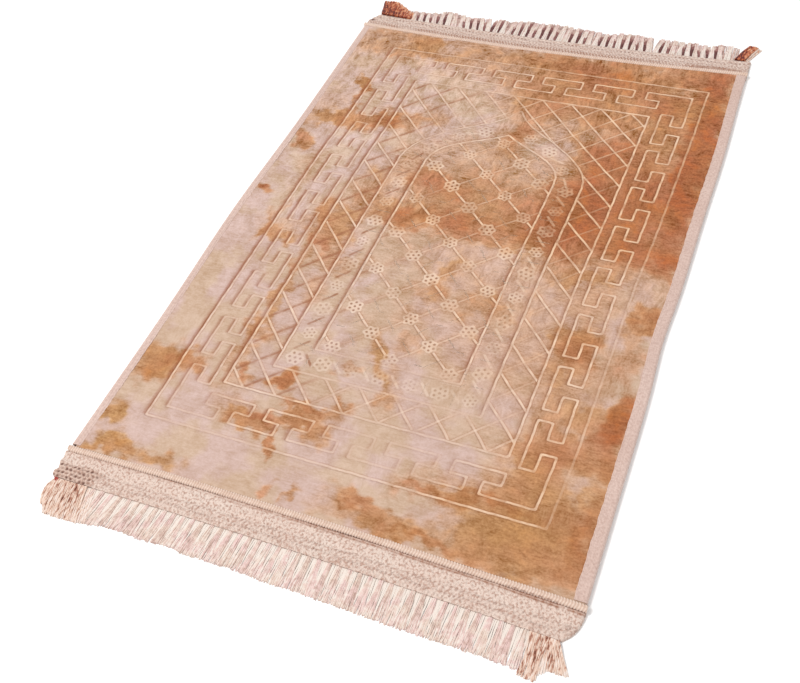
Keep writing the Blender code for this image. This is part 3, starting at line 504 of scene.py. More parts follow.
def ruffled(x, y):
    """x and y with the ripples' pushes: each is a sine along its heading."""
    push_x, push_y = np.zeros_like(x), np.zeros_like(y)
    for k, ripple in enumerate(RIPPLES):
        turn = math.radians(ripple.heading)
        phase = 2 * np.pi * (x * math.cos(turn) + y * math.sin(turn)) / ripple.length + 1.7 * k
        push_x += ripple.push * np.sin(phase)
        push_y += ripple.push * np.cos(1.3 * phase + k)
    return x + push_x, y + push_y


def cover_of(x, y, spot, crisp):
    """1 inside a blunt ellipse and 0 outside, from the third-power mean of the shares along
    and across it."""
    turn = math.radians(spot.turn)
    dx, dy = x - spot.x, y - spot.y
    along = (dx * math.cos(turn) + dy * math.sin(turn)) / spot.long
    across = (dy * math.cos(turn) - dx * math.sin(turn)) / spot.wide
    reach = np.cbrt(np.abs(along) ** 3 + np.abs(across) ** 3)
    return 1.0 / (1.0 + np.exp((reach - 1.0) * crisp))


def press_of(x, y):
    """How well the plate pressed, from 1 down to where a line hardly shows."""
    uneven = np.sin(x / 11.0 + 1.5 * np.sin(y / 29.0)) * np.sin(y / 13.0 + np.sin(x / 23.0))
    press = 0.86 + 0.14 * uneven
    for weak in LIGHTLY_PRESSED:
        press *= 1.0 - weak.loss * cover_of(x, y, weak, 5.0)
    return press


def copper_patches(x, y):
    """How copper the pile is, and how golden: soft patches laid over one another."""
    x, y = ruffled(x, y)
    copper, gold = np.zeros_like(x), np.full_like(x, 0.3)
    for patch in PATCHES:
        cover = cover_of(x, y, patch, 0.8 * patch.crisp)
        if patch.strength > 0:
            gold += (patch.gold - gold) * cover * patch.strength
            copper = 1.0 - (1.0 - copper) * (1.0 - cover * patch.strength)
        else:
            copper *= 1.0 + cover * patch.strength
    return copper, gold


print("patches:", len(PATCHES))

# %% [markdown]
# The velvet pad is one slab about 10 mm thick. Its top is a grid with a point every 2.9 mm.
# The pressed lines and rosettes are soft troughs in it, as heat leaves them in foam and pile,
# and slow swells keep the face from looking planed. Under the side tapes the pile is crushed
# by a millimetre, and the outlines below follow the pad's rounded edge.

# %% The velvet pad
PAD_TOP, CRUSHED_TOP = 10.0, 9.0
TAPE_TOP_LEFT, TAPE_TOP_RIGHT, TAPE_UNDER = 9.5, 16.0, 13.5
PadOutline = namedtuple("PadOutline", "side_in side_z end_in end_z")
PAD_OUTLINES = [PadOutline(1.5, 7.0, -1.2, 6.5), PadOutline(1.5, 3.4, 0.0, 3.4),
                PadOutline(4.0, 1.4, 0.0, 1.4), PadOutline(15.0, 1.4, 0.0, 1.4),
                PadOutline(16.5, 0.0, 0.5, 0.0)]
PAD_ACROSS, PAD_ALONG = 242, 340
TOP_IN, NEAR_TUCK, FAR_TUCK = 4.0, -2.0, -0.7         # the top runs on under the rolls
LINE_DEPTH, ROSETTE_DEPTH, CUSHION_DEPTH = 0.7, 0.6, 0.8
LINE_WIDTH, CUSHION_WIDTH = 4.4, 14.0                # half widths of the two kinds of trough
ROSETTE_FREE, ROSETTE_FADE, ROSETTE_REACH, ROSETTE_FLAT = 12.0, 4.0, 14.0, 1.2
SWELL_HEIGHT, END_DROP, END_ROUND = 0.22, 0.3, 3.0


def on_pad(p, q, side_in, end_in):
    """x and y at shares p across and q along the pad, drawn in from its edges."""
    y = -NEAR_END + q * (NEAR_END + FAR_END)
    first, last = left_edge(y) + side_in, right_edge(y) - side_in
    x = first + p * (last - first)
    near, far = end_line(-1, x) + end_in, end_line(1, x) - end_in
    return x, near + q * (far - near)


def rosette_v(u, v, held):
    """The v that the rosettes were pressed by: the trellis's own inside the panel."""
    return np.where(line_field(u, v, [PANEL]) < 0, held, v)


def velvet_height(x, y, u, v, held):
    """The top less its troughs, with slow swells, crushed at the sides and soft at the ends."""
    falling, rising = diagonals(u, v, held)
    rosette = np.hypot(*from_nearest(u, rosette_v(u, v, held), ROSETTES)[:2])
    clear = np.clip((rosette - ROSETTE_FREE) / ROSETTE_FADE, 0.0, 1.0)
    slanting = np.maximum(trough(falling, LINE_WIDTH), 0.8 * trough(rising, LINE_WIDTH))
    lines = np.maximum(trough(line_field(u, v, CLOSED_LINES), LINE_WIDTH), clear * slanting)
    pressed = np.clip(ROSETTE_FLAT - rosette / ROSETTE_REACH, 0.0, 1.0)
    sunk = LINE_DEPTH * lines + ROSETTE_DEPTH * pressed
    nearest = np.minimum(np.abs(falling), np.abs(rising))
    sunk += CUSHION_DEPTH * trough(nearest, CUSHION_WIDTH)
    z = PAD_TOP - press_of(x, y) * sunk
    z += SWELL_HEIGHT * np.sin(x / 31.0 + 0.8 * np.sin(y / 47.0)) * np.sin(y / 39.0 + 1.1)
    from_left, from_right = x - left_edge(y), right_edge(y) - x
    under = np.minimum(from_left - TAPE_TOP_LEFT, from_right - TAPE_TOP_RIGHT)
    z -= (PAD_TOP - CRUSHED_TOP) * np.clip(0.3 - under / 2.0, 0.0, 1.0)
    from_end = np.minimum(y - end_line(-1, x), end_line(1, x) - y)
    return z - END_DROP * np.clip(1.0 - from_end / END_ROUND, 0.0, 1.0) ** 2


def border_clearness(u, v, number):
    """The border's rosettes came out weaker than the trellis's, and unevenly so."""
    uneven = 0.12 * np.sin(2.9 * number)
    share = np.where(u < -100, 0.7, np.where((u > 112) | (v > 200), 0.72 + uneven, 1.0))
    return np.where(v < -270, 0.55 + uneven, share)


def rising_strength(u, v):
    """How well the rising lines took: faint at the right middle, and fainter in the panel."""
    at_right = np.interp(v, [-330.0, -300.0, 190.0, 240.0], [0.8, 0.3, 0.3, 0.7])
    strength = np.where(u > 40, at_right, 0.8)
    return np.where(line_field(u, v, [PANEL]) < 0, 0.55, strength)


def level_bars(u, v):
    """The key's level bars at the left, which show less than its uprights: a bell curve 3 mm
    about each."""
    found = np.zeros_like(u)
    corners = key_border()
    for (u0, v0), (u1, v1) in zip(corners, corners[1:] + corners[:1]):
        if v0 == v1 and max(u0, u1) < -200:
            beside = (u > min(u0, u1) + 2) & (u < max(u0, u1) - 2)
            found = np.maximum(found, beside * trough(v - v0, 3.0))
    return found


def make_velvet():
    p, q = np.meshgrid(np.linspace(0, 1, PAD_ACROSS), np.linspace(0, 1, PAD_ALONG))
    x, y = on_pad(p, q, TOP_IN, np.where(q < 0.5, NEAR_TUCK, FAR_TUCK))
    u, v, held = wavering(*in_pattern(x, y))
    z = velvet_height(x, y, u, v, held)
    rim = rim_of(*z.shape)
    rim_p, rim_q = p.ravel()[rim], q.ravel()[rim]
    on_end = (rim_q == 0) | (rim_q == 1)
    outlines = []
    for row in PAD_OUTLINES:
        rim_x, rim_y = on_pad(rim_p, rim_q, row.side_in, row.end_in)
        outlines.append(np.column_stack([rim_x, rim_y, np.where(on_end, row.end_z, row.side_z)]))
    piece = slab("velvet", x, y, z, outlines)
    falling, rising = diagonals(u, v, held)
    store(piece, "line", line_field(u, v, CLOSED_LINES), 50.0)
    store(piece, "falling", falling, 50.0)
    store(piece, "rising", rising, 50.0)
    across, up, number = from_nearest(u, rosette_v(u, v, held), ROSETTES)
    clearness = (0.8 + 0.2 * np.sin(5.3 * number)) * border_clearness(u, v, number)
    store(piece, "rosette", (across, up, clearness), 50.0)
    along, aside, _ = from_nearest(u, v, STROKES)
    # The third number marks the strokes at the left, which are inked brown as painted shade.
    store(piece, "stroke", (along, aside, np.where(u < -100, 1.0, 0.0)), 50.0)
    copper, gold = copper_patches(x, y)
    press = press_of(x, y) * (1.0 - 0.4 * level_bars(u, v))
    beside = press * np.maximum(trough(falling, 8.0), trough(rising, 8.0))
    copper += 0.16 * beside * (1.0 - copper)
    # The third number is the painted shade on the left of upright lines.
    store(piece, "pile", (copper, gold, press * left_shade(u, v)))
    store(piece, "press", press)
    store(piece, "rising_press", rising_strength(u, v))
    return piece


velvet = make_velvet()
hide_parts("velvet_pad")

# %% [markdown]
# A binding tape folds round each long side. It is a thin closed outline, carried along the
# edge: flat on top, round over the edge, flat below. The sewing draws it in every few
# millimetres, and fine ridges run along its top. On the left it stands 4 mm off the pad's edge.

# %% The side tapes
TAPE_STEPS, LEFT_FULLNESS, TAPE_TRIM = 600, 4.0, 0.8
LOW_ROUND, LOW_RISE, TOP_ROUND, SIDE_TOP, TAPE_TOP = 2.6, 3.2, 3.4, 7.0, 10.4
RIDGE_PITCH, RIDGE_HEIGHT, PUCKER_PITCH = 3.1, 0.22, 9.0


def tape_outline(top):
    """Points (distance in from the edge, z) round a folded tape, its ridges on top."""
    turn = np.radians(np.linspace(0, 90, 7))
    lower = [(TAPE_UNDER, 0.0), (LOW_ROUND, 0.0)]
    side = [(LOW_ROUND * (1 - math.sin(t)), LOW_RISE * (1 - math.cos(t))) for t in turn[1:]]
    upper = [(TOP_ROUND * (1 - math.cos(t)), SIDE_TOP + TOP_ROUND * math.sin(t)) for t in turn]
    ridges = [(d, TAPE_TOP
               + RIDGE_HEIGHT * math.cos((d - TOP_ROUND) * 2 * math.pi / RIDGE_PITCH))
              for d in np.linspace(4.2, top - 0.6, 14)]
    lip = [(top, 10.2), (top, 9.4)]
    inner = [(3.6, 9.3), (1.15, 7.2), (1.15, 3.2), (3.7, 1.1), (TAPE_UNDER, 1.1)]
    return np.array(lower + side + upper + ridges + lip + inner)


def make_tape(name, side, top):
    """The outline at each step along the edge, puckered by the stitches that hold it."""
    edge = left_edge if side < 0 else right_edge
    outline = tape_outline(top)
    first, last = end_line(-1, side * HALF_WIDTH), end_line(1, side * HALF_WIDTH)
    y = np.linspace(first + TAPE_TRIM, last - TAPE_TRIM, TAPE_STEPS)
    d, z = outline[:, 0][None, :], outline[:, 1][None, :]
    pucker = 0.16 * np.sin(2 * np.pi * y / PUCKER_PITCH + 2.0 * np.sin(y / 60.0))[:, None]
    on_top = np.clip((z - 9.5) / 0.7, 0.0, 1.0)
    sway = (0.5 * np.sin(y / 83.0) + 0.35 * np.sin(y / 7.3 + np.sin(y / 31.0))
            + 0.25 * np.sin(y / 2.6))
    loose = sway[:, None] * on_top * np.clip((d - 4.0) / 6.0, 0.0, 1.0)
    full = (LEFT_FULLNESS if side < 0 else 0.0) * np.clip(1.0 - d / 8.0, 0.0, 1.0)
    x = edge(y)[:, None] - side * (d + loose - full)
    sections = np.stack([x, np.repeat(y[:, None], len(outline), 1), z + pucker * on_top], axis=2)
    piece = skin(name, sections)
    store(piece, "inward", np.repeat(d, len(y), 0))
    return piece


tapes = [make_tape("binding_left", -1, TAPE_TOP_LEFT),
         make_tape("binding_right", 1, TAPE_TOP_RIGHT)]
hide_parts("tape_left")
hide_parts("tape_right")

# %% [markdown]
# A knitted cord covers the velvet's cut ends. It is a tube whose radius rises and falls in
# slanting ribs, one way in front of its crest and the other way behind, which gives the
# chevrons of a narrow knit.

# %% The corded rolls
CORD_S, CORD_Z, CORD_RADIUS, CORD_THINNING, RIB_PITCH = 5.3, 7.3, 4.5, 0.25, 3.6
VALLEY_DEPTH, VALLEY_WIDTH = 0.35, 0.22
CORD_ENDS = {-1: (-359.5, 351.0), 1: (-360.0, 350.5)}
CORD_STEPS, CORD_AROUND, RIB_HEIGHT, RIB_SLANT = 900, 22, 0.45, 2.6


def make_cord(name, side):
    """The radius is the cord's own plus the ribs, a sine of the distance along and of the slant
    round it. A valley runs along the crest, and seam stitches show near the near cord's right."""
    x = np.linspace(*CORD_ENDS[side], CORD_STEPS)[:, None]
    turn = (np.linspace(0, 2 * np.pi, CORD_AROUND, endpoint=False) + 0.1)[None, :]
    from_crest = np.abs(np.arctan2(np.sin(turn - np.pi / 2), np.cos(turn - np.pi / 2)))
    ribs = np.sin(2 * np.pi * x / RIB_PITCH + RIB_SLANT * from_crest)
    valley = trough(from_crest, VALLEY_WIDTH)
    radius = CORD_RADIUS + RIB_HEIGHT * ribs - VALLEY_DEPTH * valley
    radius = radius - CORD_THINNING * (0.5 + 0.5 * np.sin(x / 29.0))
    y = out_from(side, x, CORD_S) + 0.3 * np.sin(x / 41.0) + radius * np.cos(turn)
    z = CORD_Z + radius * np.sin(turn)
    piece = skin(name, np.stack([np.repeat(x, CORD_AROUND, 1), y, z], axis=2))
    # Painted shade in the hollows between ribs and in the valley along the crest.
    store(piece, "hollow_shade", np.clip(0.5 - 0.5 * ribs + 0.4 * valley, 0.0, 1.0))
    in_front = (side < 0) & (y < out_from(side, x, CORD_S))
    stitches = in_front * trough(from_crest - 1.05, 0.17)
    dashes = np.clip(1.6 * np.sin(2 * np.pi * x / 10.0 + 3.0 * from_crest) + 0.8, 0.0, 1.0)
    store(piece, "stitch", stitches * dashes * np.interp(x, [252, 262, 314, 320], [0, 1, 1, 0]))
    return piece


rolls = [make_cord("roll_near", -1), make_cord("roll_far", 1)]
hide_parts("cord_near")
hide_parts("cord_far")

# %% [markdown]
# The heading is woven and then worked with rows of knots from which the fringe hangs. It is a
# slab whose height follows a profile across it: low under the roll, a smooth ribbed cloth,
# then four rows of knots at the near end and five at the far end. At the near left its end is
# folded back, so it is thicker there and its knots are coarse and dark, with painted shade in
# the holes between them. The near right end is drawn in round the corner.

# %% The woven headings
LOCK_PITCH, BAND_START, BAND_END = 13.6, 0.3, 49.5
BAND_ALONG, BAND_ACROSS = 700, 54
FRINGE_SPAN = {-1: (-301.7, 300.0), 1: (-287.7, 321.2)}
# Height over s. Below it, for each end and side, the x of the heading's short end over s.
BAND_PROFILE = [(0.3, 1.9), (8.2, 2.4), (9.0, 5.6), (9.8, 7.0), (11.0, 7.4), (14.0, 7.2),
                (20.0, 6.9), (29.0, 5.9), (34.0, 6.3), (38.5, 4.9), (43.0, 5.2), (49.5, 3.9)]
BAND_ENDS = {
    (-1, -1): [(0.3, -360), (3, -363.5), (9.2, -364), (20, -361), (25, -363), (31, -359.5),
               (36, -358), (41, -362), (46, -361), (49.5, -357)],
    (-1, 1): [(0.3, 350), (9.2, 351), (18, 350.5), (28, 348.5), (36, 345), (42, 341),
              (49.5, 334)],
    (1, -1): [(0.3, -359.5), (12.6, -360.5), (27, -360.5), (31, -357), (38, -353),
              (49.5, -347)],
    (1, 1): [(0.3, 350.5), (12.6, 350.3), (34, 350), (49.5, 350)],
}
Fold = namedtuple("Fold", "x0 x1 s0 s1 rise")
NEAR_FOLD = Fold(-362.0, -304.0, 28.5, 49.5, 1.6)
KnotRow = namedtuple("KnotRow", "s pitch wide tall slant dark")
KNOT_ROWS = {-1: [(33.0, 6.8, 2.4, 0.7, 0.25, 1.0), (37.2, 6.8, 2.2, 0.9, 0.25, 0.6),
                  (41.4, 5.4, 2.5, 1.1, 0.1, 1.0), (46.5, 5.4, 2.4, 1.0, 0.0, 0.4)],
             1: [(22.5, 5.4, 2.4, 0.7, 0.0, 1.7), (27.5, 5.4, 2.2, 0.8, 0.2, 1.5),
                 (32.5, 6.8, 2.4, 0.6, 0.1, 0.95), (38.5, 6.8, 2.8, 0.9, 0.1, 2.0),
                 (45.0, 6.8, 2.6, 1.2, 0.0, 0.8)]}
SeamRow = namedtuple("SeamRow", "s at_left")
SEAM_ROWS = {-1: (SeamRow(10.2, 1.0), SeamRow(13.2, 0.3)),
             1: (SeamRow(14.8, 1.0), SeamRow(18.4, 1.0))}
# How strongly the seam thread shows, over x.
SEAMS = {-1: [(-355, 0.2), (-250, 0.5), (-190, 0.85), (0, 0.9), (200, 0.9), (318, 1.0),
              (323, 0.1), (329, 0.1), (331, 1.0), (350, 0.9)],
         1: [(-360, 0.6), (-300, 1.0), (0, 1.0), (330, 0.9), (345, 0.3)]}
SEAM_WIDTH, SEAM_DOT = {-1: 1.3, 1: 2.0}, 5.6
SOLID_SEAM_FROM = {-1: -400.0, 1: 255.0}
HOLE_S, HOLE_X, HOLE_ROW, HOLE_PITCH, HOLE_DEPTH = 30.5, -354.0, 5.6, 6.8, 1.1
LOOP_X, LOOP_S, LOOP_PITCH, LOOP_HEIGHT = 337, 34, 4.4, 1.5


def lock_centres(side):
    first, last = FRINGE_SPAN[side]
    count = int((last - first) / LOCK_PITCH)
    spare = (last - first - count * LOCK_PITCH) / 2
    return first + spare + LOCK_PITCH * (np.arange(count) + 0.5)


def knots(x, s, rows, start):
    """Rounded lumps in rows, each row shifted from the last by half a knot, with a pit between
    one knot and the next that slants as its row does. The pits are given as how dark to paint
    their shade."""
    lumps, pits = np.zeros_like(x), np.zeros_like(x)
    for k, row in enumerate(map(KnotRow._make, rows)):
        off = s - row.s - 0.5 * np.sin(x / 17.0 + 2 * k) - 0.4 * np.sin(x / 6.3 + k)
        across = np.clip(1 - (off / row.wide) ** 2, 0, 1)
        along = np.abs(np.sin(np.pi * ((x - start + 3 * row.slant * off) / row.pitch + 0.5 * k)))
        strong = 0.7 + 0.3 * np.sin(x / 7.7 + 3 * k)
        lumps = np.maximum(lumps, row.tall * across * np.sqrt(along))
        pits = np.maximum(pits, row.dark * strong * across * (1 - along) ** 0.8)
    return lumps, pits


def fold_holes(x, s):
    """1 in the holes of the folded end, which are dented and painted dark as their shade: a bell
    curve about each point of a grid whose rows are shifted by half a hole."""
    bent = s + 0.6 * np.sin(x / 7.0)
    row = np.round((bent - HOLE_S) / HOLE_ROW)
    off_s = bent - HOLE_S - HOLE_ROW * row
    off_x = (x - HOLE_X + np.sin(bent / 2.3)) / HOLE_PITCH + 0.5 * (row % 2)
    off_x = HOLE_PITCH * (off_x - np.round(off_x))
    strong = 0.95 + 0.35 * np.sin(1.9 * x / HOLE_PITCH + 2.4 * row)
    return strong * trough(off_x, 2.4) * trough(off_s, 2.0)


def seam_lines(side, x, s):
    """Two rows of seam thread: a bell curve across each, broken into dots where it isn't
    solid."""
    found = np.zeros_like(x)
    for k, row in enumerate(SEAM_ROWS[side]):
        middle = row.s + 0.5 * np.sin(x / 21.0)
        dots = np.clip(0.7 + 0.9 * np.sin(2 * np.pi * x / SEAM_DOT + 2.5 * k), 0, 1)
        dots = np.where(x > SOLID_SEAM_FROM[side], 0.85 + 0.15 * np.sin(x / 1.4), dots)
        share = np.interp(x, [-200.0, 120.0], [row.at_left, 1.0])
        found = np.maximum(found, share * dots * trough(s - middle, SEAM_WIDTH[side]))
    return found * np.interp(x, *zip(*SEAMS[side]))


def corner_loops(x, s):
    """Three twisted loops on the slant at the near right corner, as a height and the shade
    between them."""
    off_x, off_s = x - LOOP_X, s - LOOP_S
    across, along = (off_x + off_s) / math.sqrt(2), (off_x - off_s) / math.sqrt(2)
    within = np.clip(1.3 - np.abs(along) / 6.0, 0, 1) * np.clip(1.4 - np.abs(across) / 6.0, 0, 1)
    ridge = np.abs(np.cos(np.pi * across / LOOP_PITCH))
    return LOOP_HEIGHT * within * ridge, within * (1 - ridge) ** 1.5


def make_heading(name, side):
    """The profile plus its knots, with rounded short ends."""
    p, s = np.meshgrid(np.linspace(0, 1, BAND_ALONG),
                       np.linspace(BAND_START, BAND_END, BAND_ACROSS))
    if side < 0:
        p, s = p[::-1], s[::-1]
    ends = [np.interp(s, *zip(*BAND_ENDS[side, hand])) for hand in (-1, 1)]
    x = ends[0] + p * (ends[1] - ends[0])
    z = np.interp(s, *zip(*BAND_PROFILE))
    lumps, pits = knots(x, s, KNOT_ROWS[side], lock_centres(side)[0])
    if side < 0:
        folded = (np.clip((NEAR_FOLD.x1 - x + 5 * np.sin(s / 4)) / 14 + 1, 0, 1)
                  * np.clip((s - NEAR_FOLD.s0 - 1.5 * np.sin(x / 8)) / 3 + 1, 0, 1))
        holes = folded * fold_holes(x, s)
        loops, shade = corner_loops(x, s)
        z += NEAR_FOLD.rise * folded + loops
        pits = np.maximum(pits * (1 - folded), 0.8 * shade)
    else:
        folded = np.zeros_like(x)
        holes = 1.3 * trough(x - HOLE_X + 0.9 * (s - 28), 4.5) * trough(s - 28, 3.5)
    z += lumps * (1 - 0.8 * folded) - HOLE_DEPTH * np.clip(holes, 0, 1)
    z += 0.25 * np.sin(x / 23.0 + s / 9.0) * np.clip((s - 12.0) / 5.0, 0, 1)
    to_end = np.minimum(x - ends[0], ends[1] - x)
    z *= 0.62 + 0.38 * np.sqrt(np.clip(to_end / 3.0, 0, 1))
    y = out_from(side, x, s)
    rim = rim_of(*z.shape)
    foot = np.column_stack([x.ravel()[rim], y.ravel()[rim], np.zeros(len(rim))])
    piece = slab(name, x, y, z, [foot])
    # The pits and holes are painted shade; the seam is thread.
    store(piece, "marks", (pits, np.clip(holes, 0, 1), seam_lines(side, x, s)))
    store(piece, "folded", folded)
    return piece


headings = [make_heading("heading_near", -1), make_heading("heading_far", 1)]
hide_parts("band_near")
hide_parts("band_far")

# %% [markdown]
# Each lock of the fringe is a bundle of loose yarns that leaves one knot and fans out on the
# floor until it meets the next. Paler yarns lie under the locks at the near end. At the far end
# dark yarns lie in the wedges between locks as their painted shade. A yarn is a thin tube with
# four sides, and all the yarns of a piece are worked out together.

# %% Yarns
YARN_RINGS = 8
Yarns = namedtuple("Yarns", "root waist tip start reach lift width tone tip_tone")


def yarn_tubes(side, yarns, seed):
    """x bends from root over waist to tip as a parabola, s runs out evenly to the reach, and z
    falls from the lift to the floor. Each yarn also sways by a sine of its own, and its tone
    goes over to the tip's with the square of the share of its length."""
    rng = np.random.default_rng(seed)
    count = len(yarns.root)
    root, waist, tip, start, reach, lift, width, tone, tip_tone = [
        np.broadcast_to(np.asarray(value, dtype=float), count)[:, None] for value in yarns]
    t = np.linspace(0, 1, YARN_RINGS)[None, :]
    sway = rng.uniform(0.15, 0.8, (count, 1)) * np.sin(
        rng.uniform(4, 9, (count, 1)) * t + rng.uniform(0, 6.3, (count, 1)))
    x = root * (1 - t) ** 2 + 2 * waist * t * (1 - t) + tip * t ** 2 + sway * np.minimum(3 * t, 1)
    half = width / 2 * (1 - 0.3 * t ** 3)
    z = half + lift * (0.2 + 0.8 * (1 - t) ** 1.5) * (1 - 0.5 * t ** 4)
    y = out_from(side, x, start + t * reach)
    corners = [np.stack([x + dx * half, y, np.maximum(z + dz * half, 0.0)], axis=2)
               for dx, dz in ((-1.0, -0.55), (1.0, -0.55), (0.8, 0.75), (-0.8, 0.75))]
    points = np.stack(corners, axis=2).reshape(-1, 3)
    here, beside = np.arange(4), (np.arange(4) + 1) % 4
    ring = np.column_stack([here, beside, beside + 4, here + 4])
    one = [ring + 4 * k for k in range(YARN_RINGS - 1)]
    one += [np.array([[3, 2, 1, 0]]), 4 * (YARN_RINGS - 1) + here[None, :]]
    first = 4 * YARN_RINGS * np.arange(count)
    faces = (np.vstack(one)[None] + first[:, None, None]).reshape(-1, 4)
    return points, faces, np.repeat((tone + (tip_tone - tone) * t ** 2).ravel(), 4)


def make_bunch(name, side, yarns, seed):
    points, faces, tone = yarn_tubes(side, yarns, seed)
    piece = new_piece(name, points, faces.tolist(), sharp=75.0)
    store(piece, "tone", tone)
    return piece


# How far the tips reach past the heading, over x, as measured along the fringe's outline.
TIPS = {
    -1: [(-350, 48), (-300, 50), (-265, 47.5), (-250, 44.5), (-220, 43), (-200, 46), (-150, 43),
         (-125, 46.5), (-60, 45), (-12, 48), (10, 46.5), (60, 47.4), (130, 48), (200, 47.5),
         (255, 45.5), (300, 47)],
    1: [(-288, 33), (-250, 33), (-228, 39), (-216, 47.5), (-192, 46.5), (-168, 39), (-150, 41),
        (-110, 46), (-92, 44), (-62, 52.5), (-40, 51), (5, 54), (30, 50), (75, 47), (97, 42),
        (120, 51), (145, 50), (168, 48.5), (192, 44), (216, 45), (235, 42.5), (252, 45),
        (275, 38.5), (300, 48), (321, 43)],
}
PARTINGS = (-122.5, 181.0)
COMBED = {-1: [Swell(-9.0, -330.0, 200.0)],
          1: [Swell(-7.0, -210.0, 150.0), Swell(-5.0, 250.0, 60.0)]}
YARN_START = 49.8


def lean(side, x):
    """How far the tips are combed sideways; the far fringe also parts at two places."""
    combed = sum(swelling(swell, x) for swell in COMBED[side])
    if side < 0:
        return combed + 1.5 * np.sin(x / 47.0)
    return combed + sum(5.0 * np.sign(x - gap) * np.exp(-np.abs(x - gap) / 60.0)
                        for gap in PARTINGS)


def reach_of(side, x):
    """The fringe's length, uneven along the rug as it was cut and combed."""
    return np.interp(x, *zip(*TIPS[side]))


def locks(side, each, spread, tones, tip_shift, seed):
    """The yarns of all locks, close at the knot and spread at the tips."""
    rng = np.random.default_rng(seed)
    centre = np.repeat(lock_centres(side), each)
    share = np.tile(np.linspace(-1, 1, each), len(centre) // each)
    number = np.repeat(np.arange(len(centre) // each), each)
    comb = lean(side, centre) + 1.5 * np.sin(number * 1.9) + 0.8 * np.sin(number * 3.7)
    fan = 1.0 + 0.15 * np.sin(number * 2.7)
    stray = rng.uniform(-1, 1, (6, len(centre)))
    tone = rng.uniform(*tones, len(centre)) + 0.14 * np.sin(number * 2.3)
    return Yarns(root=centre + share * spread[0] + 0.3 * stray[0],
                 waist=centre + share * spread[1] * fan + 0.4 * comb + 0.8 * stray[1],
                 tip=centre + share * spread[2] * fan + comb + 1.2 * stray[2],
                 start=YARN_START,
                 reach=1.0 + reach_of(side, centre) + 1.4 * stray[3] - 1.2 * share ** 2,
                 lift=1.3 + 1.2 * stray[4] * (1 - 0.5 * np.abs(share)),
                 width=rng.uniform(1.2, 1.7, len(centre)), tone=tone,
                 tip_tone=tone + tip_shift * (1 + 0.5 * stray[5]))


def underlay(side, pitch, length, height, tones, tip_shift, seed):
    """Low yarns side by side along the whole fringe."""
    rng = np.random.default_rng(seed)
    first, last = FRINGE_SPAN[side]
    root = np.arange(first - 3.0, last + 3.0, pitch)
    stray = rng.uniform(-1, 1, (4, len(root)))
    tip = root + lean(side, root) + 1.5 * stray[1]
    tone = rng.uniform(*tones, len(root))
    return Yarns(root=root + 0.5 * stray[0], waist=(root + tip) / 2, tip=tip,
                 start=YARN_START, reach=1.0 + length * reach_of(side, root) + 1.2 * stray[2],
                 lift=height * (1 + 0.5 * stray[3]), width=pitch * 1.3, tone=tone,
                 tip_tone=tone + tip_shift)


def wedge_shade_yarns(side, each, shares, seed):
    """Dark yarns in the wedge between one lock and the next, maroon at the root and paler on: they
    stand for the shade in the wedge.
    """
    rng = np.random.default_rng(seed)
    middle = lock_centres(side)[:-1] + LOCK_PITCH / 2
    middle = middle[rng.uniform(0, 1, len(middle)) < 0.85]
    number = np.repeat(np.arange(len(middle)), each)
    middle = np.repeat(middle, each)
    share = np.tile(np.linspace(-1, 1, each), len(middle) // each)
    stray = rng.uniform(-1, 1, (3, len(middle)))
    depth = np.sin(number * 2.1)
    tip = middle + 0.8 * lean(side, middle) + 3.0 * share - 1.5 + 0.5 * stray[1]
    return Yarns(root=middle + 1.2 * share + 0.3 * stray[0],
                 waist=(middle + tip) / 2 + 0.6 * share, tip=tip, start=YARN_START + 1.0,
                 reach=reach_of(side, middle) * (shares[0] + shares[1] * depth + 0.08 * stray[2]),
                 lift=2.4, width=1.6, tone=2.0 + 0.25 * depth, tip_tone=0.95 + 0.2 * stray[2])


def together(*groups):
    """Several groups of yarns as one."""
    full = [[np.broadcast_to(value, len(group.root)) for value in group] for group in groups]
    return Yarns(*[np.concatenate(parts) for parts in zip(*full)])


near_yarns = together(underlay(-1, 1.35, 0.97, 0.3, (-0.3, 0.0), 0.5, 31),
                      locks(-1, 13, (1.9, 3.3, 7.2), (0.35, 0.75), 0.15, 11))
far_yarns = together(underlay(1, 1.35, 0.93, 0.3, (0.7, 1.2), 0.0, 33),
                     wedge_shade_yarns(1, 6, (0.82, 0.16), 32),
                     locks(1, 14, (5.0, 3.4, 3.0), (-0.2, 0.3), 0.5, 12))
fringes = [make_bunch("locks_near", -1, near_yarns, 21),
           make_bunch("locks_far", 1, far_yarns, 22)]
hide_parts("fringe_near")
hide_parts("fringe_far")

# %% [markdown]
# At the four corners the fringe's ends are bunched and darker. Each is a sheaf of thicker
# yarns in two or three layers, given by where its roots, its waist and its tips begin and end.

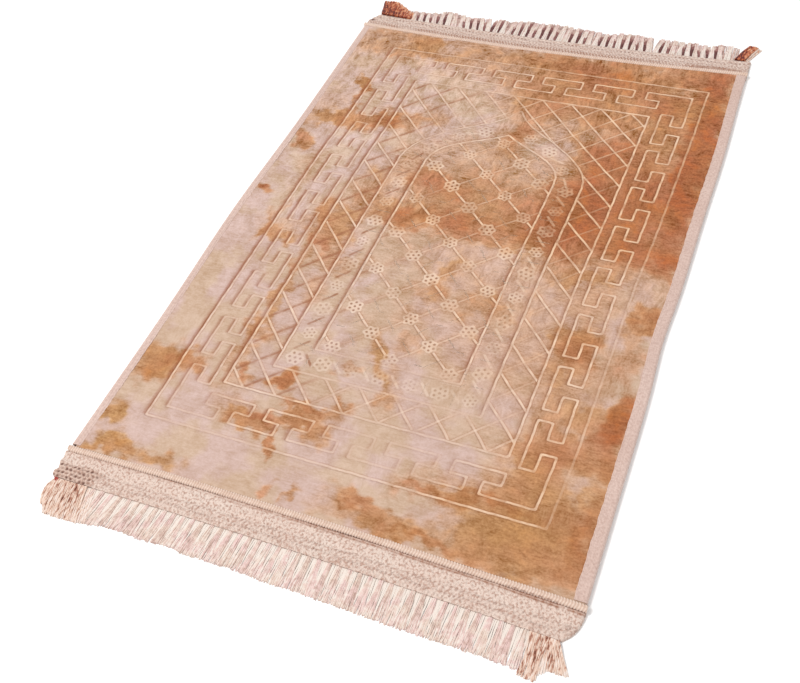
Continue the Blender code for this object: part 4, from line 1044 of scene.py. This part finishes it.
# %% Corner tassels
Tail = namedtuple("Tail", "yarns root waist tip reach tone tip_tone width lifts")
TAIL_START = 50.5
TASSELS = {
    "tassel_near_left": (-1, [
        (9, (-353, -346), (-367, -353), (-352, -341), (36, 49), (0.5, 0.5), (0.2, 0.3), 2.0,
         (0.5, 2.0)),
        (30, (-348, -303), (-348, -299), (-341, -291), (50, 50), (0.55, 0.5), (0.3, 0.25), 1.9,
         (0.4, 2.0, 3.6)),
        (9, (-303, -291), (-299, -287), (-291, -279), (50, 47), (0.35, 0.05), (0.2, 0.1), 1.8,
         (1.5,)),
        (4, (-354, -349), (-352, -347), (-351, -345), (7, 8), (2.0, 2.0), (2.0, 2.0), 1.6,
         (5.0,))]),
    "tassel_near_right": (-1, [
        (16, (298, 320), (303, 317), (299, 318), (51, 52), (0.5, 0.55), (0.35, 0.3), 1.8,
         (0.6, 2.2, 3.8)),
        (9, (314, 322), (318, 325), (314, 329), (49, 36), (0.3, 0.3), (-0.1, -0.1), 1.9,
         (0.5, 1.6)),
        (14, (316, 331), (324, 340), (328, 351), (35, 35), (0.6, 0.5), (0.4, 0.3), 1.8,
         (0.6, 2.2, 3.8))]),
    "tassel_far_left": (1, [
        (15, (-343, -320), (-350, -325), (-356, -331), (48, 52), (0.95, 0.9), (0.7, 0.6), 2.3,
         (0.5, 3.0, 5.5)),
        (22, (-320, -283), (-325, -287), (-331, -291), (52, 26), (0.95, 0.7), (0.5, 0.3), 2.3,
         (0.5, 3.0, 5.0)),
        (6, (-284, -277), (-288, -280), (-291, -283), (27, 26), (0.3, 0.1), (0.2, 0.1), 2.0,
         (1.0,))]),
    "tassel_far_right": (1, [
        (8, (323, 337), (329, 345), (341, 353), (49, 47), (1.05, 0.7), (0.8, 0.5), 2.5,
         (0.6, 3.0, 5.0)),
        # The second tail is pale yarn that also stands for the tongue's pale shadow on the floor:
        # partly painted shade.
        (6, (336, 343), (345, 352), (352, 360), (46, 40), (0.15, 0.0), (0.0, 0.0), 2.2, (0.5,))]),
}


def tail_yarns(tails, seed):
    """Each tail's yarns, side by side from its first end to its last, in one layer per lift."""
    rng = np.random.default_rng(seed)
    sheaves = []
    for tail in map(Tail._make, tails):
        for lift in tail.lifts:
            root, waist, tip, reach, tone, tip_tone = [
                np.linspace(*ends, tail.yarns) for ends in tail[1:7]]
            stray = rng.uniform(-1, 1, (6, tail.yarns))
            sheaves.append(Yarns(
                root + 0.4 * stray[0], waist + 1.0 * stray[1], tip + 1.3 * stray[2], TAIL_START,
                reach * (1 + 0.04 * stray[3]), lift + 0.4 * stray[4], tail.width,
                tone + 0.14 * stray[5], tip_tone + 0.14 * stray[5]))
    return together(*sheaves)


tassels = []
for number, (solid, (side, tails)) in enumerate(TASSELS.items()):
    piece = make_bunch(solid.replace("tassel", "sheaf"), side, tail_yarns(tails, 40 + number),
                       50 + number)
    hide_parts(solid)
    tassels.append(piece)

# %% [markdown]
# The pad is a sheet of padded cloth that lies loose on the floor, and everything else is sewn
# to it.

# %% The pieces sewn to the pad
print("pieces on the sheet:", len(tapes + rolls + headings + fringes + tassels))

# %% [markdown]
# Every finish is procedural. One function turns a colour from sRGB hex to the linear numbers
# that Blender mixes, and one adds a node with its settings and its links. A Mix node of colours
# takes its share at socket 0 and its two colours at sockets 6 and 7, and gives output 2.

# %% Helpers for materials
def linear(hex_colour):
    """sRGB hex to linear RGBA."""
    channels = [int(hex_colour[k:k + 2], 16) / 255 for k in (1, 3, 5)]
    return [c / 12.92 if c <= 0.04045 else ((c + 0.055) / 1.055) ** 2.4 for c in channels] + [1.0]


def add_node(tree, kind, links=None, out=0, **settings):
    """Adds a node with its settings and gives back one of its outputs. A socket is fed by
    another node's output, by a plain value or by a colour in hex."""
    made = tree.nodes.new("ShaderNode" + kind)
    for name, value in settings.items():
        setattr(made, name, value)
    for socket, value in (links or {}).items():
        if isinstance(value, bpy.types.NodeSocket):
            tree.links.new(value, made.inputs[socket])
        else:
            made.inputs[socket].default_value = linear(value) if isinstance(value, str) else value
    return made.outputs[out]


def finish(name, colour_and_bump, **constants):
    """A Principled material: constants on its own sockets, then what the function links. The
    function is handed add_node for the material's own tree, and the place on the object."""
    made = bpy.data.materials.new(name)
    made.use_nodes = True
    shader = made.node_tree.nodes["Principled BSDF"]
    for socket, value in constants.items():
        shader.inputs[socket.replace("_", " ")].default_value = value
    add = partial(add_node, made.node_tree)
    colour, normal = colour_and_bump(add, add("TexCoord", out=3))
    made.node_tree.links.new(colour, shader.inputs["Base Color"])
    made.node_tree.links.new(normal, shader.inputs["Normal"])
    return made


def inked(add, colour, layers):
    """Inks laid over a colour in turn, each as strong as its mask times its share."""
    for mask, share, ink in layers:
        share = add("Math", {0: mask, 1: share}, **TIMES)
        colour = add("Mix", {0: share, 6: colour, 7: ink}, **RGBA)
    return colour


def dress(pieces, made):
    for piece in pieces:
        piece.data.materials.clear()
        piece.data.materials.append(made)
    print(made.name, "on", len(pieces))


SMOOTH = {"interpolation_type": "SMOOTHSTEP"}
RGBA = {"data_type": "RGBA", "out": 2}
TIMES, TIMES_PLUS = {"operation": "MULTIPLY"}, {"operation": "MULTIPLY_ADD"}

# %% [markdown]
# Crushed polyester velvet, pressed with a hot plate. Copper lies in patches on rose beige. The
# pile is brushed mostly across the rug, in strokes about 14 mm long and 4 mm wide over spots of
# 30 mm, and more along the rug towards the far end. It lies calmer where it is pale. Its tufts
# of half a millimetre are drawn at 3 mm so that they show. A pressed line is paler, with a
# darker rim that is painted shade of the trough's walls. Brown shade is also painted left of
# the upright lines, and on the rising lines and the border's strokes at the left.

# %% Velvet pile
# Noise scales in spots per metre. Brush strokes: how they are squeezed, and their scale.
TUFTS, SPOTS, HUES, SLOW_SPOTS, PATCHY = 330.0, 34.0, 14.0, 9.0, 75.0
BRUSHED_ACROSS, BRUSHED_ALONG = ((1.0, 3.2, 1.0), 74.0), ((3.4, 1.0, 1.0), 42.0)
# How far from its middle a mark is gone, and how far it is full, in mm.
LINE, RIM, DOT = (2.0, 1.0), (4.0, 1.4), (2.7, 1.0)
STROKE_END, STROKE_SIDE, ROSETTE_CLEAR = (15.0, 11.0), (2.6, 1.1), (12.0, 14.0)
PETALS, PETAL_EDGE, PETAL_WAVE, DOT_RING = 6, 10.8, 1.2, 7.6


def velvet_pile(add, place):
    """The pile's colour with painted shade on the left of upright lines, how copper it is, and the
    heights of its strokes and tufts.
    """
    marks = add("Attribute", out=1, attribute_name="pile")
    copper, gold, shade = add("SeparateXYZ", {0: marks}).node.outputs
    along = add("SeparateXYZ", {0: place}, out=1)

    tufts = add("TexNoise", {"Vector": place, "Scale": TUFTS, "Detail": 3.0, "Roughness": 0.6})
    spots = add("TexNoise", {"Vector": place, "Scale": SPOTS, "Detail": 4.0, "Roughness": 0.55,
                             "Distortion": 0.8})
    hues = add("TexNoise", {"Vector": place, "Scale": HUES, "Detail": 3.0, "Roughness": 0.5})
    slow = add("TexNoise", {"Vector": place, "Scale": SLOW_SPOTS, "Detail": 3.0})
    brushed = []
    for squeeze, scale in (BRUSHED_ACROSS, BRUSHED_ALONG):
        turned = add("Mapping", {"Vector": place, "Scale": squeeze, "Rotation": (0.0, 0.0, 0.12)})
        brushed.append(add("TexNoise", {"Vector": turned, "Scale": scale, "Detail": 5.0,
                                        "Roughness": 0.66, "Distortion": 0.7}))
    turning = add("Math", {0: along, 1: 0.16, 2: slow}, **TIMES_PLUS)
    upward = add("MapRange", {0: turning, 1: 0.48, 2: 0.60}, **SMOOTH)
    strokes = add("Mix", {0: upward, 2: brushed[0], 3: brushed[1]})

    lively = add("MapRange", {0: copper, 1: 0.0, 2: 0.45, 3: 0.35, 4: 1.0})
    farther = add("MapRange", {0: along, 1: -0.3, 2: 0.42, 3: 0.0, 4: 0.6})
    lively = add("Math", {0: lively, 1: farther}, operation="ADD")
    for noise, push in ((spots, 0.09), (strokes, 0.04)):
        push = add("MapRange", {0: noise, 1: 0.33, 2: 0.67, 3: -push, 4: push}, clamp=False)
        copper = add("Math", {0: push, 1: lively, 2: copper}, **TIMES_PLUS)
    hue_push = add("MapRange", {0: hues, 1: 0.36, 2: 0.64, 3: -0.22, 4: 0.22})
    gold = add("Math", {0: gold, 1: hue_push}, operation="ADD", use_clamp=True)

    rose_share = add("MapRange", {0: hues, 1: 0.42, 2: 0.58}, **SMOOTH)
    pale = add("Mix", {0: rose_share, 6: "#BCA08A", 7: "#BEA297"}, **RGBA)
    middle = add("Mix", {0: gold, 6: "#B38365", 7: "#B08960"}, **RGBA)
    rich = add("Mix", {0: gold, 6: "#9A532C", 7: "#A06B35"}, **RGBA)
    middle_share = add("MapRange", {0: copper, 1: 0.02, 2: 0.5})
    rich_share = add("MapRange", {0: copper, 1: 0.42, 2: 1.0})
    colour = add("Mix", {0: middle_share, 6: pale, 7: middle}, **RGBA)
    colour = add("Mix", {0: rich_share, 6: colour, 7: rich}, **RGBA)
    light = add("MapRange", {0: slow, 1: 0.3, 2: 0.7, 3: -0.04, 4: 0.04}, clamp=False)
    for noise, depth in ((strokes, 0.24), (tufts, 0.14), (spots, 0.23)):
        pushed = add("MapRange", {0: noise, 1: 0.36, 2: 0.64, 3: -depth, 4: depth})
        light = add("Math", {0: pushed, 1: lively, 2: light}, **TIMES_PLUS)
    tint = add("VectorMath", {0: light, 1: (0.72, 1.0, 1.36), 2: (1.0, 1.0, 1.0)}, **TIMES_PLUS)
    colour = add("Mix", {0: 1.0, 6: colour, 7: tint}, blend_type="MULTIPLY", **RGBA)
    # Painted shade on the left of upright lines.
    colour = inked(add, colour, [(shade, 0.9, "#8E4E2E")])
    strokes = add("Math", {0: strokes, 1: lively}, **TIMES)
    tufts = add("Math", {0: tufts, 1: lively}, **TIMES)
    return colour, copper, strokes, tufts


def pressed_pattern(add, patchy, rising):
    """Where the pile is pressed: lines, the rim beside each that gets painted shade, strokes and
    rosettes with dots. A rosette's edge is a circle with a wave for each petal, and its dots stand
    in a ring round a middle one. The strokes at the left are picked out for painted shade."""
    rosette = add("Attribute", out=1, attribute_name="rosette")
    off_u, off_v, clearness = add("SeparateXYZ", {0: rosette}).node.outputs
    rosette = add("CombineXYZ", {0: off_u, 1: off_v})
    radius = add("VectorMath", {0: rosette}, out=1, operation="LENGTH")
    angle = add("Math", {0: off_v, 1: off_u}, operation="ARCTAN2")
    clear = add("MapRange", {0: radius, 1: ROSETTE_CLEAR[0], 2: ROSETTE_CLEAR[1]}, **SMOOTH)

    drawn = []
    for name, strength in (("line", 1.0), ("falling", 1.0), ("rising", rising)):
        distance = add("Attribute", out=2, attribute_name=name)
        distance = add("Math", {0: distance}, operation="ABSOLUTE")
        for gone, full in (LINE, RIM):
            mark = add("MapRange", {0: distance, 1: gone, 2: full, 3: 0.0, 4: strength}, **SMOOTH)
            if name != "line":
                mark = add("Math", {0: mark, 1: clear}, **TIMES)
            drawn.append(mark)
    closed, closed_rim, falling, falling_rim, faint, faint_rim = drawn
    lines = add("Math", {0: closed, 1: falling}, operation="MAXIMUM")
    shaded_rims = add("Math", {0: closed_rim, 1: falling_rim}, operation="MAXIMUM")
    shaded_rims = add("Math", {0: shaded_rims, 1: faint_rim}, operation="MAXIMUM")

    stroke = add("Attribute", out=1, attribute_name="stroke")
    along, aside, dark = add("SeparateXYZ", {0: stroke}).node.outputs
    length = add("Math", {0: along}, operation="ABSOLUTE")
    width = add("Math", {0: aside}, operation="ABSOLUTE")
    within = add("MapRange", {0: length, 1: STROKE_END[0], 2: STROKE_END[1]}, **SMOOTH)
    curve = add("MapRange", {0: width, 1: STROKE_SIDE[0], 2: STROKE_SIDE[1]}, **SMOOTH)
    curve = add("Math", {0: curve, 1: within}, **TIMES)
    # Strokes at the left are inked brown as painted shade, the others cream.
    shaded_curve = add("Math", {0: curve, 1: dark}, **TIMES)
    pale_curve = add("Math", {0: curve, 1: shaded_curve}, operation="SUBTRACT")

    lobes = add("Math", {0: angle, 1: PETALS}, **TIMES)
    lobes = add("Math", {0: lobes}, operation="COSINE")
    edge = add("Math", {0: lobes, 1: PETAL_WAVE, 2: PETAL_EDGE}, **TIMES_PLUS)
    edge = add("Math", {0: patchy, 1: 3.0, 2: edge}, **TIMES_PLUS)
    inside = add("Math", {0: edge, 1: radius}, operation="SUBTRACT")
    disc = add("MapRange", {0: inside, 1: -0.6, 2: 1.4}, **SMOOTH)
    disc = add("Math", {0: disc, 1: clearness}, **TIMES)
    turned = add("Math", {0: angle, 1: 2 * math.pi}, operation="ADD")
    turned = add("Math", {0: turned, 1: math.pi / PETALS}, operation="PINGPONG")
    dot_u = add("Math", {0: turned}, operation="COSINE")
    dot_u = add("Math", {0: dot_u, 1: radius, 2: -DOT_RING}, **TIMES_PLUS)
    dot_v = add("Math", {0: turned}, operation="SINE")
    dot_v = add("Math", {0: dot_v, 1: radius}, **TIMES)
    dot = add("CombineXYZ", {0: dot_u, 1: dot_v})
    dot = add("VectorMath", {0: dot}, out=1, operation="LENGTH")
    dot = add("Math", {0: dot, 1: radius}, operation="MINIMUM")
    dots = add("MapRange", {0: dot, 1: DOT[0], 2: DOT[1]}, **SMOOTH)
    bare = add("Math", {0: 1.0, 1: dots}, operation="SUBTRACT")
    petals = add("Math", {0: disc, 1: bare}, **TIMES)
    dots = add("Math", {0: disc, 1: dots}, **TIMES)
    return lines, shaded_rims, faint, pale_curve, shaded_curve, petals, dots


def pressed_velvet(add, place):
    """The pile with each mark inked on it, weaker where the plate pressed less. At the left the
    rising lines turn from pale to a brown that is painted shade."""
    colour, copper, strokes, tufts = velvet_pile(add, place)
    patchy = add("TexNoise", {"Vector": place, "Scale": PATCHY, "Detail": 4.0})
    press = add("Attribute", out=2, attribute_name="press")
    rising = add("Attribute", out=2, attribute_name="rising_press")
    lines, shaded_rims, faint, pale_curve, shaded_curve, petals, dots = pressed_pattern(add, patchy, rising)

    cream = add("Mix", {0: copper, 6: "#E0CAB9", 7: "#E4C09A"}, **RGBA)
    across = add("SeparateXYZ", {0: place}, out=0)
    at_left = add("MapRange", {0: across, 1: -0.02, 2: -0.12}, **SMOOTH)
    # Rising lines are cream at the right and turn at the left to a brown that is painted shade.
    thin = add("Mix", {0: at_left, 6: cream, 7: "#8E5C42"}, **RGBA)
    patchy = add("MapRange", {0: patchy, 1: 0.34, 2: 0.56, 3: 0.45, 4: 1.0})
    patchy = add("Math", {0: patchy, 1: press}, **TIMES)
    rich = add("MapRange", {0: copper, 1: 0.1, 2: 0.7, 3: 0.8, 4: 0.92})
    # The brown of the rims is painted shade of the troughs' walls, as is the brown of the rising
    # lines and of the strokes at the left.
    for mask, strength, ink in ((shaded_rims, 0.42, "#96542F"), (faint, 0.85, thin),
                                (shaded_curve, 0.8, "#8C563A"),
                                (dots, 0.75, "#7E4A30"), (petals, 0.75, cream),
                                (pale_curve, 0.5, cream), (lines, rich, cream)):
        mask = add("Math", {0: patchy, 1: mask}, **TIMES)
        colour = inked(add, colour, [(mask, strength, ink)])

    depth = add("Math", {0: petals, 1: 0.6, 2: shaded_rims}, **TIMES_PLUS)
    depth = add("Math", {0: depth, 1: patchy}, **TIMES)
    depth = add("Math", {0: depth, 1: -0.8}, **TIMES)
    depth = add("Math", {0: strokes, 1: 0.17, 2: depth}, **TIMES_PLUS)
    depth = add("Math", {0: tufts, 1: 0.35, 2: depth}, **TIMES_PLUS)
    return colour, add("Bump", {"Height": depth, "Strength": 1.0, "Distance": 0.0014})


dress([velvet], finish("pressed polyester velvet", pressed_velvet, Roughness=0.85,
                       Sheen_Weight=0.08, Sheen_Roughness=0.45, Sheen_Tint=linear("#F2DCCB"),
                       Specular_IOR_Level=0.2))

# %% [markdown]
# Satin binding tape: a close weave with a soft shine and fine ribs along its length. The ribs
# are 1.1 mm apart on the real tape and drawn at 1.6 mm so that they show.

# %% Binding tape
def binding_weave(add, place):
    inward = add("Attribute", out=2, attribute_name="inward")
    phase = add("Math", {0: inward, 1: 2 * math.pi / 1.6}, **TIMES)
    ribs = add("Math", {0: phase}, operation="SINE")
    slubs = add("TexNoise", {"Vector": place, "Scale": 300.0, "Detail": 4.0})
    slow = add("TexNoise", {"Vector": place, "Scale": 12.0, "Detail": 3.0})
    colour = add("Mix", {0: slow, 6: "#D6BEB3", 7: "#C4A69A"}, **RGBA)
    share = add("MapRange", {0: slubs, 1: 0.4, 2: 0.65, 3: 0.0, 4: 0.5})
    colour = add("Mix", {0: share, 6: colour, 7: "#AE8E82"}, **RGBA)
    height = add("Math", {0: ribs, 1: 0.25, 2: slubs}, **TIMES_PLUS)
    return colour, add("Bump", {"Height": height, "Strength": 0.8, "Distance": 0.0005})


dress(tapes, finish("satin binding tape", binding_weave, Roughness=0.6, Sheen_Weight=0.15,
                    Specular_IOR_Level=0.3))

# %% [markdown]
# The roll is knitted from thick soft yarn: cream, with a rosy brown painted into the hollows
# between its ribs as their shade.

# %% Knitted cord
def cord_knit(add, place):
    hollow_shade = add("Attribute", out=2, attribute_name="hollow_shade")
    fluff = add("TexNoise", {"Vector": place, "Scale": 330.0, "Detail": 4.0})
    colour = add("Mix", {0: fluff, 6: "#E9D7C9", 7: "#DBC1B1"}, **RGBA)
    stitch = add("Attribute", out=2, attribute_name="stitch")
    worn = add("TexNoise", {"Vector": place, "Scale": 130.0, "Detail": 3.0})
    worn = add("MapRange", {0: worn, 1: 0.45, 2: 0.65})
    # The second ink is painted shade in the hollows.
    colour = inked(add, colour, [(worn, 0.3, "#C09C86"), (hollow_shade, 0.6, "#AE8872"),
                                 (stitch, 0.85, "#8A6050")])
    return colour, add("Bump", {"Height": fluff, "Strength": 0.7, "Distance": 0.0006})


dress(rolls, finish("knitted acrylic cord", cord_knit, Roughness=0.85, Sheen_Weight=0.2,
                    Specular_IOR_Level=0.2))

# %% [markdown]
# The heading is a looped weave of the same yarn, mottled with rosy flecks about 2 mm across. Two
# rows of brown seam thread show beside the roll. Brown shade is painted into the pits between
# knots, between the corner's loops, in the holes of the folded end and in a dent at the far left.

# %% Woven heading
def heading_weave(add, place):
    marks = add("Attribute", out=1, attribute_name="marks")
    pit, hole, seam = add("SeparateXYZ", {0: marks}).node.outputs
    folded = add("Attribute", out=2, attribute_name="folded")
    loops = add("TexNoise", {"Vector": place, "Scale": 300.0, "Detail": 3.0})
    slow = add("TexNoise", {"Vector": place, "Scale": 22.0, "Detail": 4.0})
    cells = add("TexVoronoi", {"Vector": place, "Scale": 330.0}, feature="F1")
    colour = add("Mix", {0: slow, 6: "#DCCBBF", 7: "#D2B8AA"}, **RGBA)
    fleck = add("MapRange", {0: loops, 1: 0.47, 2: 0.64})
    uneven = add("MapRange", {0: loops, 1: 0.3, 2: 0.6, 3: 0.75, 4: 0.5})
    worn = add("MapRange", {0: slow, 1: 0.35, 2: 0.5, 3: 0.5, 4: 1.0})
    # The pit and hole inks are painted shade; the seam ink is thread.
    colour = inked(add, colour, [(folded, 0.25, "#CC9E82"), (fleck, 0.7, "#A67C6A"),
                                 (pit, uneven, "#7C4C3A"), (hole, 0.9, "#58281A"),
                                 (seam, worn, "#8A5436")])
    height = add("Math", {0: cells, 1: -1.2, 2: loops}, **TIMES_PLUS)
    return colour, add("Bump", {"Height": height, "Strength": 1.0, "Distance": 0.0012})


dress(headings, finish("looped woven heading", heading_weave, Roughness=0.88, Sheen_Weight=0.2,
                       Specular_IOR_Level=0.2))

# %% [markdown]
# The fringe is loose acrylic yarn. Each yarn has its own tone between cream, rose and tan, and
# the maroon ones that fill the wedges of the far fringe are painted shade. The corner sheaves are
# plied from a cream and a brown strand, which shows as dashes along each yarn, or dyed russet with
# pale tips.

# %% Loose yarn
def loose_yarn(add, place):
    tone = add("Attribute", out=2, attribute_name="tone")
    flecks = add("TexNoise", {"Vector": place, "Scale": 210.0, "Detail": 3.0})
    clumps = add("TexNoise", {"Vector": place, "Scale": 45.0, "Detail": 2.0})
    share = add("MapRange", {0: flecks, 1: 0.35, 2: 0.65, 3: -0.25, 4: 0.25})
    share = add("Math", {0: share, 1: tone}, operation="ADD")
    rosy = add("MapRange", {0: clumps, 1: 0.4, 2: 0.6})
    colour = add("Mix", {0: rosy, 6: "#D6C0B2", 7: "#D8BAB4"}, **RGBA)
    # Tones from 1.4 to 2 give the maroon of the yarns that stand for the shade in the far wedges.
    for start, end, ink in ((0.5, 0.0, "#DED2C8"), (0.5, 1.1, "#B6988C"), (1.1, 1.45, "#94605A"),
                            (1.4, 2.0, "#562420")):
        step = add("MapRange", {0: share, 1: start, 2: end})
        colour = add("Mix", {0: step, 6: colour, 7: ink}, **RGBA)
    return colour, add("Bump", {"Height": flecks, "Strength": 0.6, "Distance": 0.0004})


dress(fringes, finish("loose acrylic yarn", loose_yarn, Roughness=0.82, Sheen_Weight=0.2,
                      Specular_IOR_Level=0.2))

# %% Plied and russet yarn
Dye = namedtuple("Dye", "pale light middle dark thread")


def plied(dye):
    """A yarn of two strands: its tone and flecks 10 mm long pick the colour from pale to dark.
    A tone of 2 is a stray coloured thread."""
    def colours(add, place):
        tone = add("Attribute", out=2, attribute_name="tone")
        drawn_out = add("Mapping", {"Vector": place, "Scale": (1.0, 0.24, 1.0)})
        flecks = add("TexNoise", {"Vector": drawn_out, "Scale": 400.0, "Detail": 3.0,
                                  "Roughness": 0.6})
        share = add("MapRange", {0: flecks, 1: 0.3, 2: 0.7, 3: -0.55, 4: 0.55}, clamp=False)
        share = add("Math", {0: share, 1: tone}, operation="ADD")
        colour = add("MapRange", {0: share, 1: 0.0, 2: 0.35})
        colour = add("Mix", {0: colour, 6: dye.pale, 7: dye.light}, **RGBA)
        for start, end, source, ink in ((0.5, 0.72, share, dye.middle),
                                        (0.8, 1.0, share, dye.dark),
                                        (1.4, 1.8, tone, dye.thread)):
            step = add("MapRange", {0: source, 1: start, 2: end})
            colour = add("Mix", {0: step, 6: colour, 7: ink}, **RGBA)
        return colour, add("Bump", {"Height": flecks, "Strength": 0.7, "Distance": 0.0006})
    return colours


two_ply = plied(Dye("#E2D2C8", "#D6BAA8", "#A87460", "#683C2E", "#A8443C"))
russet = plied(Dye("#D6C2B4", "#CC8C66", "#A84A26", "#521812", "#521812"))
dress(tassels[:2], finish("plied acrylic yarn", two_ply, Roughness=0.82, Sheen_Weight=0.15,
                          Specular_IOR_Level=0.2))
dress(tassels[2:], finish("russet acrylic yarn", russet, Roughness=0.82, Sheen_Weight=0.15,
                          Specular_IOR_Level=0.2))
print("materials:", len(bpy.data.materials))

# %% [markdown]
# A pale floor, one soft light from the near left and an even white sky. The light is small
# enough to draw the pressed lines, and the sky leaves only a faint shadow on the right.

# %% Floor, light and camera
floor_mesh = bpy.data.meshes.new("floor")
floor_mesh.from_pydata([(-6, -6, 0), (6, -6, 0), (6, 6, 0), (-6, 6, 0)], [], [(0, 1, 2, 3)])
floor = bpy.data.objects.new("floor", floor_mesh)
bpy.context.scene.collection.objects.link(floor)


def paper_grain(add, place):
    grain = add("TexNoise", {"Vector": place, "Scale": 60.0})
    colour = add("Mix", {0: grain, 6: "#FCFCFC", 7: "#FAFAFA"}, **RGBA)
    return colour, add("Bump", {"Height": grain, "Strength": 0.05, "Distance": 0.0005})


dress([floor], finish("white paper sweep", paper_grain, Roughness=0.9))

LAMP_PLACE, LAMP_SIZE, LAMP_ENERGY, SKY_STRENGTH = (-2.7, -2.0, 6.0), 2.4, 284.0, 0.80
window = bpy.data.lights.new("window", "AREA")
window.shape, window.size, window.energy = "DISK", LAMP_SIZE, LAMP_ENERGY
lamp = bpy.data.objects.new("window", window)
lamp.location = LAMP_PLACE
lamp.rotation_euler = (-Vector(LAMP_PLACE)).to_track_quat("-Z", "Y").to_euler()
bpy.context.scene.collection.objects.link(lamp)

sky = bpy.data.worlds.new("white studio")
sky.use_nodes = True
sky.node_tree.nodes["Background"].inputs[0].default_value = (1.0, 1.0, 1.0, 1.0)
sky.node_tree.nodes["Background"].inputs[1].default_value = SKY_STRENGTH
bpy.context.scene.world = sky
bpy.context.scene.view_settings.view_transform = "Standard"

EYE, AIM = Vector((0.45616, -1.04201, 1.10044)), Vector((-0.00267, -0.20722, 0.0))
ROLL = math.radians(-9.28)                      # the camera is held a little askew
SENSOR, FOCAL_SHARE = 36.0, 1031.0 / 800.0      # mm, and focal length over image width
lens = bpy.data.cameras.new("camera")
lens.sensor_width, lens.lens = SENSOR, FOCAL_SHARE * SENSOR
camera = bpy.data.objects.new("camera", lens)
looking = (AIM - EYE).to_track_quat("-Z", "Y").to_matrix().to_4x4()
camera.matrix_world = Matrix.Translation(EYE) @ looking @ Matrix.Rotation(ROLL, 4, "Z")
bpy.context.scene.collection.objects.link(camera)
bpy.context.scene.camera = camera
print("camera", round(EYE.length, 3), "m from the rug's middle")
